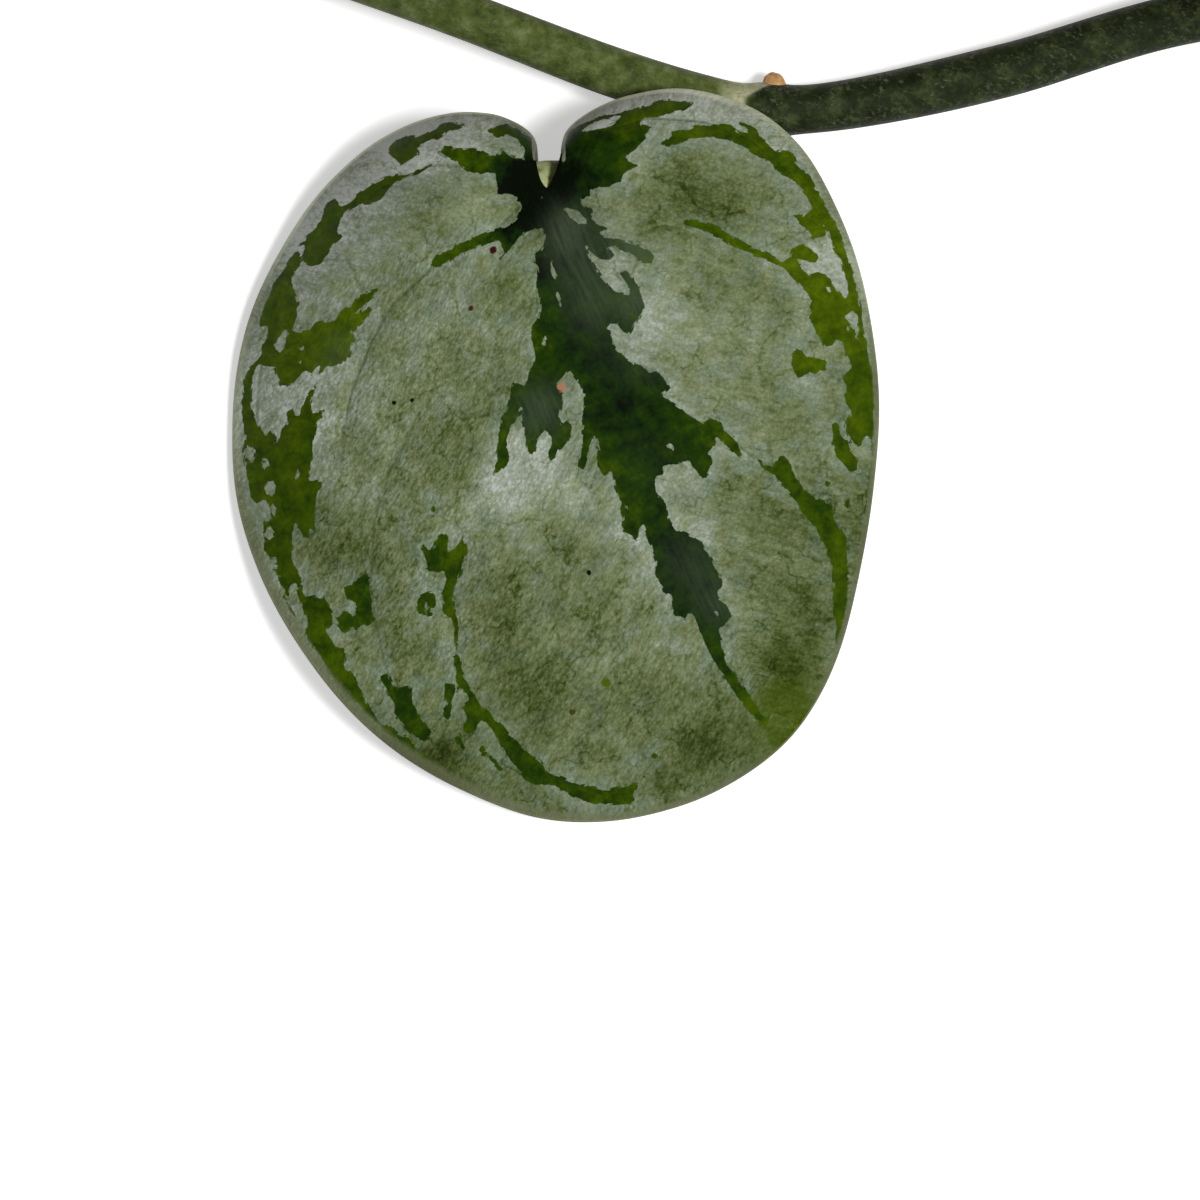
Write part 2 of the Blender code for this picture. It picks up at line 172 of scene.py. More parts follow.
class Vine:
    """A stem's route and its leaves. A node is (travel mm, blade length mm, spread degrees), with its
    travel counted from zero_travel. placed holds what is given for a leaf, by its number."""

    def __init__(self, route, nodes, first_side=1, placed=None, zero_travel=0.0):
        self.route = route
        self.nodes = [zero_travel + node * MM for node, _, _ in nodes]
        self.leaves = []
        for k, (node, length, spread) in enumerate(nodes):
            fixed = (placed or {}).get(k, {})
            side = first_side * (-1) ** k
            self.leaves.append(self.plan_leaf(self.nodes[k], length * MM, spread, side, k, **fixed))

    def radius_at(self, travel):
        """STEM_RADIUS, going over to STEM_TIP_RADIUS by the share of the way to the power of 4."""
        return STEM_RADIUS + (STEM_TIP_RADIUS - STEM_RADIUS) * (travel / self.route.length) ** 4

    def plan_leaf(self, travel, length, spread, side, k, leave=None, base=None, towards_tip=None,
                  blade_face=None, lopsided=None, bow=0.4, arrive=0.6):
        """The leaf at a node. Its stalk leaves the stem up and to one side, and its tip points ahead
        along the stem, turned to that side by the spread. Whatever is given takes the place of this."""
        node, ahead = self.route.at(travel), self.route.heading(travel)
        face = away_from_pot(node, ahead)
        across = np.cross(face, ahead) * side
        if leave is None:
            leave = 0.70 * across + 0.60 * face
        if base is None:
            base = node + PETIOLE_LENGTH * unit(0.40 * ahead + 0.75 * across + 0.5 * face)
        if towards_tip is None:
            turn = math.radians(spread)
            towards_tip = math.cos(turn) * ahead + math.sin(turn) * across + 0.08 * face
        if blade_face is None:
            blade_face = face + 0.10 * across
        if lopsided is None:
            lopsided = side * (0.6 + 0.3 * math.cos(2.3 * k))
        leave = unit(leave - ahead * np.dot(leave, ahead))
        leaf = Leaf(base, towards_tip, blade_face, length, lopsided)
        start = node + leave * (self.radius_at(travel) + FIT_GAP)
        below = leaf.base - RIB_DEPTH * leaf.face
        reach = bow * np.linalg.norm(below - start)
        leaf.stalk = Route([start, start + leave * reach,
                            below - leaf.down * reach * arrive - leaf.face * 0.6 * MM,
                            below + leaf.down * 1 * MM, below + leaf.down * RIB_LENGTH * length])
        leaf.leave = unit(leaf.stalk.points[1] - leaf.stalk.points[0])
        return leaf


print("a leaf's base is", PETIOLE_LENGTH / MM, "mm from its node, if not placed by hand")

# %% The vine in front
# Its route in millimetres, from the soil to its tip, and what is given for three of its leaves.
FRONT_ROUTE = Route(np.array([
    (15, -14, 78), (15, -14, 86), (15, -14, 95), (18, -17, 110), (28, -30, 123), (44, -47, 126),
    (57, -62, 112), (64, -72, 84), (66, -80, 52), (64, -88, 24), (56, -97, 8), (42, -103, 3.2),
    (21.2, -104.6, 2.8), (5.8, -108.85, 2.6), (-5.8, -111.4, 2.6), (-12.7, -111.95, 2.7),
    (-17.3, -111.2, 2.9), (-25.0, -108.9, 4.0), (-38.8, -103.8, 6.5), (-55, -98.5, 7), (-72, -94, 4.5),
    (-88, -90, 3), (-105, -83, 2.8), (-128, -78, 3.2),
]) * MM)
LAID_OUT = {
    4: {"base": np.array([78, -98, 15.5]) * MM, "towards_tip": (0.82, -0.56, -0.12),
        "blade_face": (0.05, 0, 1)},
    5: {"base": np.array([34, -90, 10]) * MM, "towards_tip": (0.35, 0.93, -0.03), "blade_face": (0, 0, 1)},
    6: {"leave": (0, -1, 0.1), "bow": 0.2, "arrive": 0.25, "base": np.array([-29.46, -118.3, 12.5]) * MM,
        "towards_tip": (0.393, -0.912, -0.113), "blade_face": (0, 0, 1), "lopsided": 1.0},
}
VINES = {
    "vine_front": Vine(FRONT_ROUTE, [
        (-238, 38, 40), (-205, 44, 40), (-170, 46, 40), (-135, 44, 40), (-85, 46, 50), (-42, 42, 60),
        (0, 46.4, 60), (40, 44, 60), (78, 42, 50), (110, 32, 40),
    ], placed=LAID_OUT, zero_travel=FRONT_ROUTE.travel_near(SHOWN_NODE)),
}
SHOWN_LEAF = VINES["vine_front"].leaves[6]
print("the shown leaf's base:", (SHOWN_LEAF.base / MM).round(2), "mm")

# %% The vines round the pot


def hanging_route(azimuth, swing, foot_radius, profile):
    """In the upright plane at an azimuth in degrees, which swings by swing * share^2 as it falls. It
    starts straight up through the soil, and goes on by the profile's (radius mm, height mm)."""
    stations = [(foot_radius, height) for height in (78, 86, 94)] + profile
    share = np.linspace(0, 1, len(stations))
    angle = np.radians(azimuth + swing * share**2)
    radius, height = np.array(stations, float).T
    return Route(np.stack([radius * np.cos(angle), radius * np.sin(angle), height], axis=1) * MM)


LOW = [(24, 108), (36, 119), (51, 123), (67, 115), (78, 97), (84, 75), (87, 50)]
HIGH = [(24, 112), (33, 134), (47, 147), (65, 148), (82, 134), (93, 111), (98, 84)]
SHORT = [(24, 110), (35, 124), (50, 130), (65, 125), (76, 107), (82, 85)]
UPRIGHT = [(8, 112), (15, 134), (28, 151), (46, 158)]
# The name, then azimuth and swing in degrees, foot radius in mm, profile, the side of the first leaf,
# and the nodes.
ROUND_THE_POT = [
    ("right", 35, -10, 20, LOW, -1,
     [(42, 38, 50), (70, 44, 40), (98, 46, 40), (124, 42, 40), (146, 34, 30)]),
    ("back_right", 92, 12, 21, HIGH, 1,
     [(42, 40, 85), (80, 46, 45), (110, 48, 40), (140, 44, 40), (165, 34, 30)]),
    ("back_left", 146, 8, 20, LOW, -1,
     [(42, 38, 50), (70, 44, 40), (98, 46, 40), (122, 40, 40), (148, 32, 30)]),
    ("left", 200, -6, 21, HIGH, 1,
     [(42, 32, 70), (80, 46, 45), (110, 46, 40), (140, 42, 40), (165, 34, 30)]),
    ("left_front", 252, 6, 20, SHORT, -1, [(44, 38, 50), (74, 44, 40), (102, 42, 40), (122, 32, 30)]),
    ("middle", 20, 20, 6, UPRIGHT, 1, [(58, 38, 80), (74, 38, 60), (91, 30, 40)]),
]
for name, azimuth, swing, foot_radius, profile, first_side, nodes in ROUND_THE_POT:
    VINES["vine_" + name] = Vine(hanging_route(azimuth, swing, foot_radius, profile), nodes, first_side)
LEAVES = [leaf for vine in VINES.values() for leaf in vine.leaves]
print("plan:", len(VINES), "stems and", len(LEAVES), "leaves")

# %% [markdown]
# ## Meshes and noise
#
# Every surface here is a grid of points worked out with numpy. A tube is a ring carried along a
# route. Uneven things, such as soil and the margin's waves, use a sum of seeded sine waves, so each
# run gives the same plant.

# %% A piece from arrays


def new_piece(name, points, faces, materials, slot, replaces=(), face_material=0, **attributes):
    """A mesh object at the origin: points (n, 3), faces a list of (m, corners) arrays, and one value
    or vector a point for each named attribute. It rides on the root and stands for what it replaces."""
    corners = np.concatenate([np.asarray(f, int).ravel() for f in faces])
    sizes = np.concatenate([np.full(len(f), len(f[0])) for f in faces])
    mesh = bpy.data.meshes.new(name)
    mesh.vertices.add(len(points))
    mesh.vertices.foreach_set("co", np.asarray(points, np.float32).ravel())
    mesh.loops.add(len(corners))
    mesh.loops.foreach_set("vertex_index", corners.astype(np.int32))
    mesh.polygons.add(len(sizes))
    mesh.polygons.foreach_set("loop_start", (np.cumsum(sizes) - sizes).astype(np.int32))
    mesh.polygons.foreach_set("material_index", np.broadcast_to(face_material, len(sizes)).astype(np.int32))
    mesh.update(calc_edges=True)
    mesh.shade_smooth()
    for title, values in attributes.items():
        values = np.asarray(values, np.float32)
        kind, field = ("FLOAT_VECTOR", "vector") if values.ndim == 2 else ("FLOAT", "value")
        mesh.attributes.new(title, kind, "POINT").data.foreach_set(field, values.ravel())
    for material in materials:
        mesh.materials.append(material)
    piece = bpy.data.objects.new(name, mesh)
    bpy.context.scene.collection.objects.link(piece)
    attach(piece, "root")
    if replaces:
        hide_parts(*replaces)
    return piece


class Parts:
    """Surfaces gathered into one mesh, each with its own material and attributes."""

    def __init__(self):
        self.surfaces = []

    def add(self, points, faces, material, **values):
        """Keeps one surface, with the number of its material in the piece's list."""
        self.surfaces.append((points, faces, material, values))

    def piece(self, name, materials, slot, replaces):
        """All the surfaces as one piece. An attribute is 0 on a surface that doesn't give it."""
        starts = np.cumsum([0] + [len(points) for points, *_ in self.surfaces])
        faces, which, every = [], [], {}
        for start, (points, groups, material, values) in zip(starts, self.surfaces):
            faces += [np.asarray(group) + start for group in groups]
            which.append(np.full(sum(len(group) for group in groups), material))
            for key, value in values.items():
                whole = every.setdefault(key, np.zeros((starts[-1],) + np.shape(value)[1:]))
                whole[start : start + len(points)] = value
        points = np.vstack([points for points, *_ in self.surfaces])
        return new_piece(name, points, faces, materials, slot, replaces, np.concatenate(which), **every)


print("meshes in the file before the first piece:", len(bpy.data.meshes))

# %% Faces over a grid


def grid_faces(rows, columns, closed=False, first=0):
    """Quads over a grid of points numbered row by row; closed joins the last column to the first."""
    row, column = np.meshgrid(np.arange(rows - 1), np.arange(columns - (not closed)), indexing="ij")
    a = first + row * columns + column
    b = first + row * columns + (column + 1) % columns
    return np.stack([a, a + columns, b + columns, b], axis=-1).reshape(-1, 4)


def closed_faces(rows, columns):
    """Faces of a closed surface whose points are a grid of rows x columns, joined up into rings, and
    then a pole for each end: the quads between the rings, and a fan of triangles round each pole."""
    ring = np.arange(columns)
    last = (rows - 1) * columns + ring
    pole = np.full(columns, rows * columns)
    return [
        grid_faces(rows, columns, closed=True)[:, ::-1],
        np.stack([pole, np.roll(ring, -1), ring], axis=1),
        np.stack([pole + 1, last, np.roll(last, -1)], axis=1),
    ]


print("a closed tube of 5 rings and 8 sides has", sum(map(len, closed_faces(5, 8))), "faces")

# %% A tube along a curve


def tube(points, radius, sides, across=(0.31, 0.17, 0.93)):
    """A closed tube: rings of point + radius * (cos(turn) * side + sin(turn) * up), where side is
    carried along the points with as little turning as possible, and a pole at each end. radius is one
    value a point, or one a point and side. Returns the points, the faces, and each point's outward
    direction."""
    points = np.asarray(points, float)
    ahead = unit(np.gradient(points, axis=0))
    side = np.cross(ahead[0], across)
    sides_at = []
    for way in ahead:
        side = unit(side - way * np.dot(side, way))
        sides_at.append(side)
    side = np.array(sides_at)[:, None]
    up = np.cross(ahead, side[:, 0])[:, None]
    turn = np.linspace(0, 2 * np.pi, sides, endpoint=False)[None, :, None]
    out = np.cos(turn) * side + np.sin(turn) * up
    rings = points[:, None] + np.asarray(radius, float).reshape(len(points), -1, 1) * out
    every = np.concatenate([rings.reshape(-1, 3), points[:1], points[-1:]])
    outwards = np.concatenate([out.reshape(-1, 3), -ahead[:1], ahead[-1:]])
    return every, closed_faces(len(points), sides), outwards


print("its points:", len(tube([(0, 0, k) for k in range(5)], np.ones(5), 8)[0]))

# %% Smooth noise from sines


def ripples(points, length, seed, waves=12):
    """Smooth noise of about -1 to 1: a sum of sines in seeded directions, near the wavelength."""
    points = np.asarray(points, float)
    draw = np.random.default_rng(seed)
    ways = unit(draw.normal(size=(waves, points.shape[-1])))
    pitch = 2 * np.pi / (length * draw.uniform(0.6, 1.6, waves))
    phase = draw.uniform(0, 2 * np.pi, waves)
    return np.sin(points @ (ways * pitch[:, None]).T + phase).sum(axis=-1) / math.sqrt(waves / 2) / 1.6


print("ripples at three places:", ripples([[0, 0], [1, 0], [2, 0]], 4, 1).round(2))

# %% [markdown]
# ## The blade's surface
#
# A scindapsus leaf is a lopsided heart: thick, leathery and slightly domed, with its margin rolled
# down and a shallow funnel where the stalk joins between the two lobes. The blade is a polar grid
# about that point. A row of the grid is a share of the way out to the margin, so rows crowd together
# in the notch and the outline stays crisp.

# %% The blade's outline
# The margin as (right of the midrib, down from the base), in hundredths of the blade's length, from
# the left of the notch round the tip to its right. It and the marks are drawn as they look from above.
OUTLINE = np.array([
    (0.6, -5.2), (1.4, -7.8), (1.1, -10), (-0.8, -12.8), (-4, -15.5), (-10, -18.1), (-18, -19.1),
    (-27, -17.8), (-38, -13.2), (-50, -4.4), (-58, 4.8), (-64, 15.8), (-67.8, 27), (-69, 39), (-68, 51),
    (-64.9, 64), (-60, 75), (-52.8, 85), (-43, 94.5), (-32, 100), (-20, 102.4), (-9.5, 102.1), (0, 99.7),
    (7.8, 95.2), (15.1, 88.4), (22.7, 78.4), (30, 67), (36.6, 54.1), (40.7, 41), (42.8, 28), (42.3, 14),
    (39.5, 5.3), (34.6, -1.2), (27, -6.7), (18.7, -9), (12.4, -9.2), (7.4, -8.1), (5, -5.8), (4, -3.2),
])
OUTLINE_TIP = 22
# What brings a place seen from above onto the leaf's own plane: it looks 0.5% larger than it would on
# the floor, and it slopes along its length.
NEARNESS = 1.005
SEEN = np.array([1, 1 / math.hypot(*SHOWN_LEAF.down[:2])]) / NEARNESS


def margin(lopsided, columns):
    """Points along the margin, as (right, down) in blade lengths, with the tip in the middle.
    lopsided 1 is the outline as listed, and -1 the same outline turned over, left for right."""
    curve = Route(OUTLINE * SEEN / 100)
    tip = curve.travel_near(OUTLINE[OUTLINE_TIP] * SEEN / 100)
    share = np.linspace(-1, 1, columns)
    right = curve.at(np.where(share < 0, (1 + share) * tip, tip + share * (curve.length - tip)))
    left = right[::-1] * (-1, 1)
    return (1 + lopsided) / 2 * right + (1 - lopsided) / 2 * left


print("margin points at the tip:", margin(1.0, 481)[240].round(3))

# %% The blade's height
# In blade lengths: how far the margin rolls down, how high the margin's waves are on the leaves by the
# pot, and how far the leaf in front comes down at its upper left.
DOME = 0.12
WAVINESS = 0.02
SHOWN_DROOP = 0.105


def blade_height(x, y, ring, leaf):
    """Height over the leaf's plane in blade lengths: -DOME * ring^3 rolls the margin down, a ring of
    0.055 * exp(-((d - 0.16) / 0.14)^2) about the base raises the lobes, and -0.02 * exp(-(x / 0.05)^2)
    sinks the midrib. Slow waves along the margin are what sets one leaf apart from the next. The leaf
    in front also lets its upper left side down to the floor, and lifts its lower left side a little."""
    roll = -DOME * ring**3
    from_base = np.hypot(x, y)
    lobes = 0.055 * np.exp(-(((from_base - 0.16) / 0.14) ** 2)) * (1 - 0.6 * ring)
    valley = -0.02 * np.exp(-((x / 0.05) ** 2)) * (1 - ring)
    waves = leaf.waviness * ring**4 * ripples(np.stack([x, y], axis=-1), 0.7, leaf.seed)
    lowered = smoothstep(-x, 0, 0.5) * (1 - smoothstep(y, 0.1, 0.6))
    lifted = 0.4 * np.exp(-((x + 0.6) ** 2 + (y - 0.68) ** 2) / 0.06)
    return roll + lobes + valley + waves - leaf.droop * ring**3 * (lowered - lifted)


for seed, leaf in enumerate(LEAVES, 100):
    leaf.seed = seed
    leaf.waviness, leaf.droop = (0.0, SHOWN_DROOP) if leaf is SHOWN_LEAF else (WAVINESS, 0.0)
tip_height = blade_height(0.0, 1.0, 1.0, SHOWN_LEAF) * SHOWN_LEAF.length
print("the shown leaf's tip is at", round(float(tip_height) / MM, 2), "mm over its plane")

# %% [markdown]
# ## The markings
#
# The silver is a layer of air under the skin. Where it is missing, the leaf's dark green shows: along
# the midrib, in a broken band inside the margin, and here and there along a side vein. Each patch is a
# closed outline in the leaf's own measures, and a point's value is how deep inside the nearest outline
# it lies, in millimetres. The finish later cuts these values along the edges of small cells, which
# gives the stepped outline of real variegation.

# %% The patches at the top left
# Each point is (right of the midrib, down from the base), in hundredths of the blade's length.
GREEN_MARKS = {}
GREEN_MARKS["top left"] = [
    [(-21.7, -16.5), (-20.4, -17.3), (-17, -17.3), (-16.5, -16.6), (-13.5, -16.5), (-11, -16.6),
     (-8, -15.2), (-8.2, -14.7), (-11.3, -15.1), (-13, -14.5), (-15, -15), (-17.2, -14.7),
     (-17, -13.5), (-20.5, -13), (-21.1, -14.5)],
    # the arm along the upper left margin
    [(-15.7, -11), (-20, -11.2), (-22.4, -12), (-24.5, -12.4), (-28.5, -12), (-31, -10.9),
     (-32.3, -11), (-32.6, -12.7), (-33.4, -13.1), (-34, -12.4), (-34.8, -12.6), (-35.7, -11.4),
     (-36, -10.4), (-38.5, -9.5), (-41.4, -8.2), (-40.2, -7.9), (-40.6, -7), (-41.8, -5.9),
     (-41.9, -7.5), (-43.2, -7), (-46.6, -4.7), (-50, -2.2), (-51.9, 0), (-52.8, 1.6), (-51, 2),
     (-52.3, 3.7), (-54, 5.2), (-53.9, 8), (-50.5, 8), (-51.9, 5.8), (-50.8, 4.6), (-48.6, 3.8),
     (-48.8, 5.5), (-47, 5.5), (-47.8, 4.4), (-46.6, 2.8), (-45.5, 1.4), (-45, -0.2), (-44.9, -2),
     (-44.8, -3.6), (-43.2, -4.7), (-41.8, -5.4), (-41.4, -4.4), (-40.6, -3.8), (-39, -3.7),
     (-36.6, -5.4), (-34.3, -6.3), (-34.5, -7.2), (-33.5, -8.6), (-32.4, -9.8), (-29, -10.2),
     (-28.7, -9.3), (-25.5, -9.2), (-24.4, -10.1), (-21.3, -10.9), (-18.5, -10.6)],
    # the broad arm below it
    [(-31.9, 4), (-34.5, 3.9), (-36.2, 4), (-37.1, 5), (-39, 4.7), (-40.7, 6), (-43.5, 5),
     (-45, 5.6), (-49, 4.6), (-50.2, 6.5), (-51.5, 7.2), (-53.5, 5.5), (-55.7, 6.7), (-54.6, 8),
     (-53.2, 9.1), (-53.5, 12.1), (-52.3, 12.6), (-50, 12), (-48.5, 11.6), (-47.8, 12.6),
     (-45.8, 11.6), (-47.9, 13.8), (-45, 12.5), (-42.1, 12.9), (-40.5, 12.3), (-39.8, 10.7),
     (-38.9, 10.2), (-39.1, 8.9), (-36.6, 8.2), (-34.4, 7.1), (-34.6, 6.2), (-38, 7), (-36.2, 6),
     (-34.6, 5.3), (-33, 4.8)],
]
print("top left:", len(GREEN_MARKS["top left"]))

# %% The patches along the left margin
GREEN_MARKS["left margin"] = [
    # down from the broad arm, with the wide patch beside it
    [(-54, 6.6), (-56.9, 7), (-58.9, 8.6), (-60, 11.2), (-61.4, 13.9), (-61.9, 16), (-62.3, 18),
     (-63.8, 19.5), (-63.9, 21), (-64.7, 24.1), (-65.3, 27), (-64.8, 28.4), (-63.4, 28.2),
     (-63, 29.5), (-63.7, 31.6), (-65, 31.7), (-66.2, 34.5), (-66.6, 36.4), (-66.2, 37.7),
     (-65.2, 37.7), (-65.2, 38.9), (-66.9, 39.2), (-66, 40.7), (-66.4, 42.3), (-66, 44.5),
     (-65.1, 43.2), (-64.1, 43), (-64.5, 47.3), (-64.7, 50), (-65.7, 50.9), (-66, 52.3),
     (-65, 56), (-64.8, 59.1), (-64.1, 62.3), (-64, 64.5), (-62.8, 64.7), (-61.4, 68.8),
     (-59.8, 72.2), (-57.8, 75.2), (-56, 78.6), (-54.4, 81), (-54.9, 78.6), (-56.2, 76.6),
     (-57.1, 73.9), (-58.6, 72.4), (-58.6, 71), (-60, 70.7), (-61, 67), (-61.2, 64.3),
     (-61.2, 60.2), (-62.5, 59), (-61.3, 58), (-60.7, 55.7), (-62.1, 55.8), (-62.5, 52.2),
     (-61, 51.8), (-60.4, 50.9), (-60.2, 46.9), (-61.2, 47), (-62.1, 46.1), (-63.5, 45.9),
     (-63.6, 44.2), (-62.6, 43.2), (-62.8, 41.4), (-63, 39.5), (-61.6, 35.7), (-60, 33.6),
     (-59.8, 36.6), (-58.7, 37), (-57.3, 36.6), (-57, 34.8), (-54.8, 30.7), (-53.5, 29.8),
     (-53.7, 28.6), (-55, 28.5), (-54.8, 27.5), (-53, 25.2), (-52.3, 23.2), (-51, 21.8),
     (-50, 20), (-48.5, 19.5), (-48.3, 18.8), (-50.2, 18.4), (-49.8, 16.6), (-48, 14.5),
     (-50, 15.5), (-52.3, 18), (-53.4, 17.4), (-52.8, 16.4), (-54.1, 16.6), (-54.5, 18),
     (-56.2, 19.1), (-57, 20.4), (-58.7, 21.2), (-57.5, 19.6), (-57.8, 18), (-59.1, 18.5),
     (-59.4, 14.4), (-58.7, 11.6), (-57.3, 9.4), (-56, 7.6)],
    # the hooked patch beside the margin
    [(-52.1, 45.7), (-54.4, 46.6), (-55.5, 47.3), (-57, 46.8), (-57.1, 49.1), (-56.3, 50),
     (-56.4, 51.6), (-57.5, 51.8), (-58.3, 50.5), (-59.2, 51), (-60.5, 51.8), (-59.9, 54),
     (-58.2, 53.6), (-57.7, 54.2), (-56.3, 53.5), (-55.9, 54.2), (-54.4, 54), (-54.1, 52.3),
     (-53, 49.1), (-52.5, 47.2)],
    [(-47.3, 54.5), (-46.1, 53.2), (-43.4, 53.2), (-43.8, 55.4), (-45.4, 56.8), (-47.1, 56.3)],
    [(-57.5, 62.7), (-56, 62.5), (-55.7, 65.2), (-53, 66.3), (-54, 69.3), (-53.7, 71.8),
     (-53.2, 73.8), (-52.3, 74.7), (-54.4, 75.4), (-55.3, 75.2), (-57.1, 72), (-57.6, 69.5),
     (-57, 68.5), (-57, 66.5)],
    [(-66.2, 49.2), (-66.4, 47.2), (-67.2, 43.4), (-67, 42.6), (-66.7, 46)],
]
print("left margin:", len(GREEN_MARKS["left margin"]))

# %% The patches at the lower left
GREEN_MARKS["low left"] = [
    # the winged patch, then the long patch down to the lower margin
    [(-35, 46.7), (-37.3, 48.1), (-38.9, 48.4), (-37.9, 46.8), (-37.8, 45.6), (-38.8, 45.1),
     (-40, 45.7), (-40.5, 46.8), (-41.5, 46.8), (-41.9, 45.8), (-42.6, 46), (-42.6, 48.8),
     (-43.4, 49.7), (-42.1, 50.4), (-40.5, 51.2), (-41, 52.7), (-42.4, 54.1), (-43.2, 57.3),
     (-43, 58.6), (-41.9, 58.1), (-41, 55.9), (-40.3, 54.1), (-37.7, 52), (-36.6, 50.4),
     (-35.3, 48.8), (-35.7, 47.8)],
    [(-42.4, 57.5), (-42.8, 60), (-44, 63.8), (-44.8, 64.4), (-45.3, 66.2), (-46.2, 68.9),
     (-47.8, 68.3), (-48.7, 70.2), (-49, 71.4), (-50.1, 71.7), (-50, 73.5), (-49, 73.4),
     (-47.8, 71.3), (-46, 69.4), (-45.3, 70.2), (-45.4, 72.3), (-47, 72.8), (-46.9, 75),
     (-48, 75.6), (-47.7, 77.6), (-46.2, 77.4), (-45.5, 76.4), (-44.6, 76), (-43.8, 78),
     (-43.3, 82.5), (-42.9, 84.7), (-41.8, 86.8), (-42.2, 87.6), (-41, 89.8), (-38.9, 90),
     (-37.2, 92), (-35, 94.6), (-33.5, 96), (-31.2, 97.2), (-29.3, 98.1), (-27.6, 98.3),
     (-28.8, 99), (-26.4, 98.7), (-26.8, 97.6), (-25.4, 96.4), (-24, 95.4), (-26.2, 95.7),
     (-30.3, 95), (-32.5, 93.4), (-35.2, 91.5), (-36.6, 89.8), (-38.2, 88.2), (-38.2, 86.8),
     (-39.8, 84.3), (-41.4, 80), (-41.9, 78), (-42.8, 77), (-43.1, 74.7), (-44, 74.4),
     (-44.1, 72), (-44.5, 69.5), (-44.4, 67.5), (-43.5, 63.5), (-41.8, 59.6), (-41.4, 57.5)],
    [(-50.1, 77.9), (-49.7, 76.6), (-49, 76.6), (-48.7, 77.8), (-49.1, 79.6), (-49.7, 79.6)],
    [(-47.8, 80.6), (-46.6, 80), (-45.6, 79.8), (-45.7, 80.8), (-46.5, 81.6)],
    [(-46.2, 82.1), (-44.9, 82.3), (-45.2, 83.8), (-44.6, 85.2), (-45.3, 85.3)],
    [(-24.2, 92.5), (-23.5, 93), (-23.7, 93.8), (-24.4, 93.4)],
    [(-21.4, 93), (-20.2, 92.2), (-20.2, 93.4), (-21.2, 93.6)],
    [(-24.2, 95.2), (-22.8, 94.8), (-22.6, 95.4), (-23.8, 96.2)],
    [(-38.5, 40.4), (-37.8, 40.3), (-37.7, 41.4), (-38.6, 41.6)],
]
print("low left:", len(GREEN_MARKS["low left"]))

# %% The patches round the notch
GREEN_MARKS["notch"] = [
    # the foot of the notch, green right to its edge
    [(-2, 1), (-1.5, -6), (1.6, -9.5), (4.5, -9), (6.4, -6.5), (5.6, -2), (3, 1), (0.5, 2)],
    # left of the stalk: a short ring, the black body and its two arms
    [(-4.9, -12.4), (-3.2, -12.8), (-1.7, -12.5), (-0.5, -11), (0.6, -9.6), (1.5, -7.8),
     (0.8, -6), (0, -4.4), (-1.4, -4.6), (-0.6, -6), (-0.6, -7.5), (-1.2, -9.3), (-2.6, -10.8),
     (-3.7, -10.5), (-4.6, -11.3)],
    [(-14.1, -12.4), (-13.1, -12.9), (-11.4, -12.4), (-10.4, -11.4), (-8.3, -10.6), (-7.4, -9.8),
     (-6.5, -8.4), (-4.8, -8.1), (-4.1, -9.2), (-3.5, -7.6), (-2.3, -6.4), (-1.2, -5.9),
     (0.4, -5.6), (-0.4, -3), (-1, 0), (-1.8, 3.5), (-2.4, 5.6), (-4.2, 5.5), (-6.5, 5.4),
     (-8, 5.8), (-9, 6.6), (-10.4, 7.4), (-11.8, 8.1), (-12.4, 7.8), (-10.8, 7),
     (-10.4, 6.3), (-10.8, 5), (-12.3, 4.5), (-14.9, 4.5), (-17.2, 4.4), (-19.5, 4.9),
     (-21.3, 4.8), (-22.6, 4.1), (-21.3, 3), (-19.5, 3.1), (-16.7, 2.8), (-13.1, 2.7),
     (-10.4, 3.1), (-8.1, 3.2), (-6.5, 2.6), (-5.4, 1.4), (-4.9, 0.6), (-5.3, 0), (-4.8, -0.6),
     (-5.4, -1.1), (-8, -2.2), (-7.2, -3.9), (-6.8, -5.4), (-8.1, -6.3), (-9.2, -6.3),
     (-10.8, -7.5), (-11.5, -8.8), (-12, -10), (-13.2, -11.1)],
    # right of the stalk, along the top of the right lobe
    [(-1, 0.4), (1.5, 0.3), (2.6, -0.6), (3.5, -1.8), (4.4, -3.8), (5.1, -5.6), (6, -6.8),
     (7.8, -7.4), (12.4, -7.5), (16.9, -6.6), (20, -6.2), (23.4, -6.1), (24.6, -5.4), (28, -3.6),
     (25.5, -3), (21.8, -3.6), (19.6, -4.3), (18.5, -4), (18.3, -3.4), (20, -2.4), (18, -1.8),
     (18.1, -0.9), (15.5, 0), (13.7, 0.6), (13.8, 1.4), (14.9, 2.5), (12.4, 2.8), (11.6, 3.8),
     (9.5, 3.9), (7, 3.1), (6.2, 3.2), (5.8, 4), (5, 4.2), (3.6, 3.4), (-0.6, 3.4)],
]
print("notch:", len(GREEN_MARKS["notch"]))

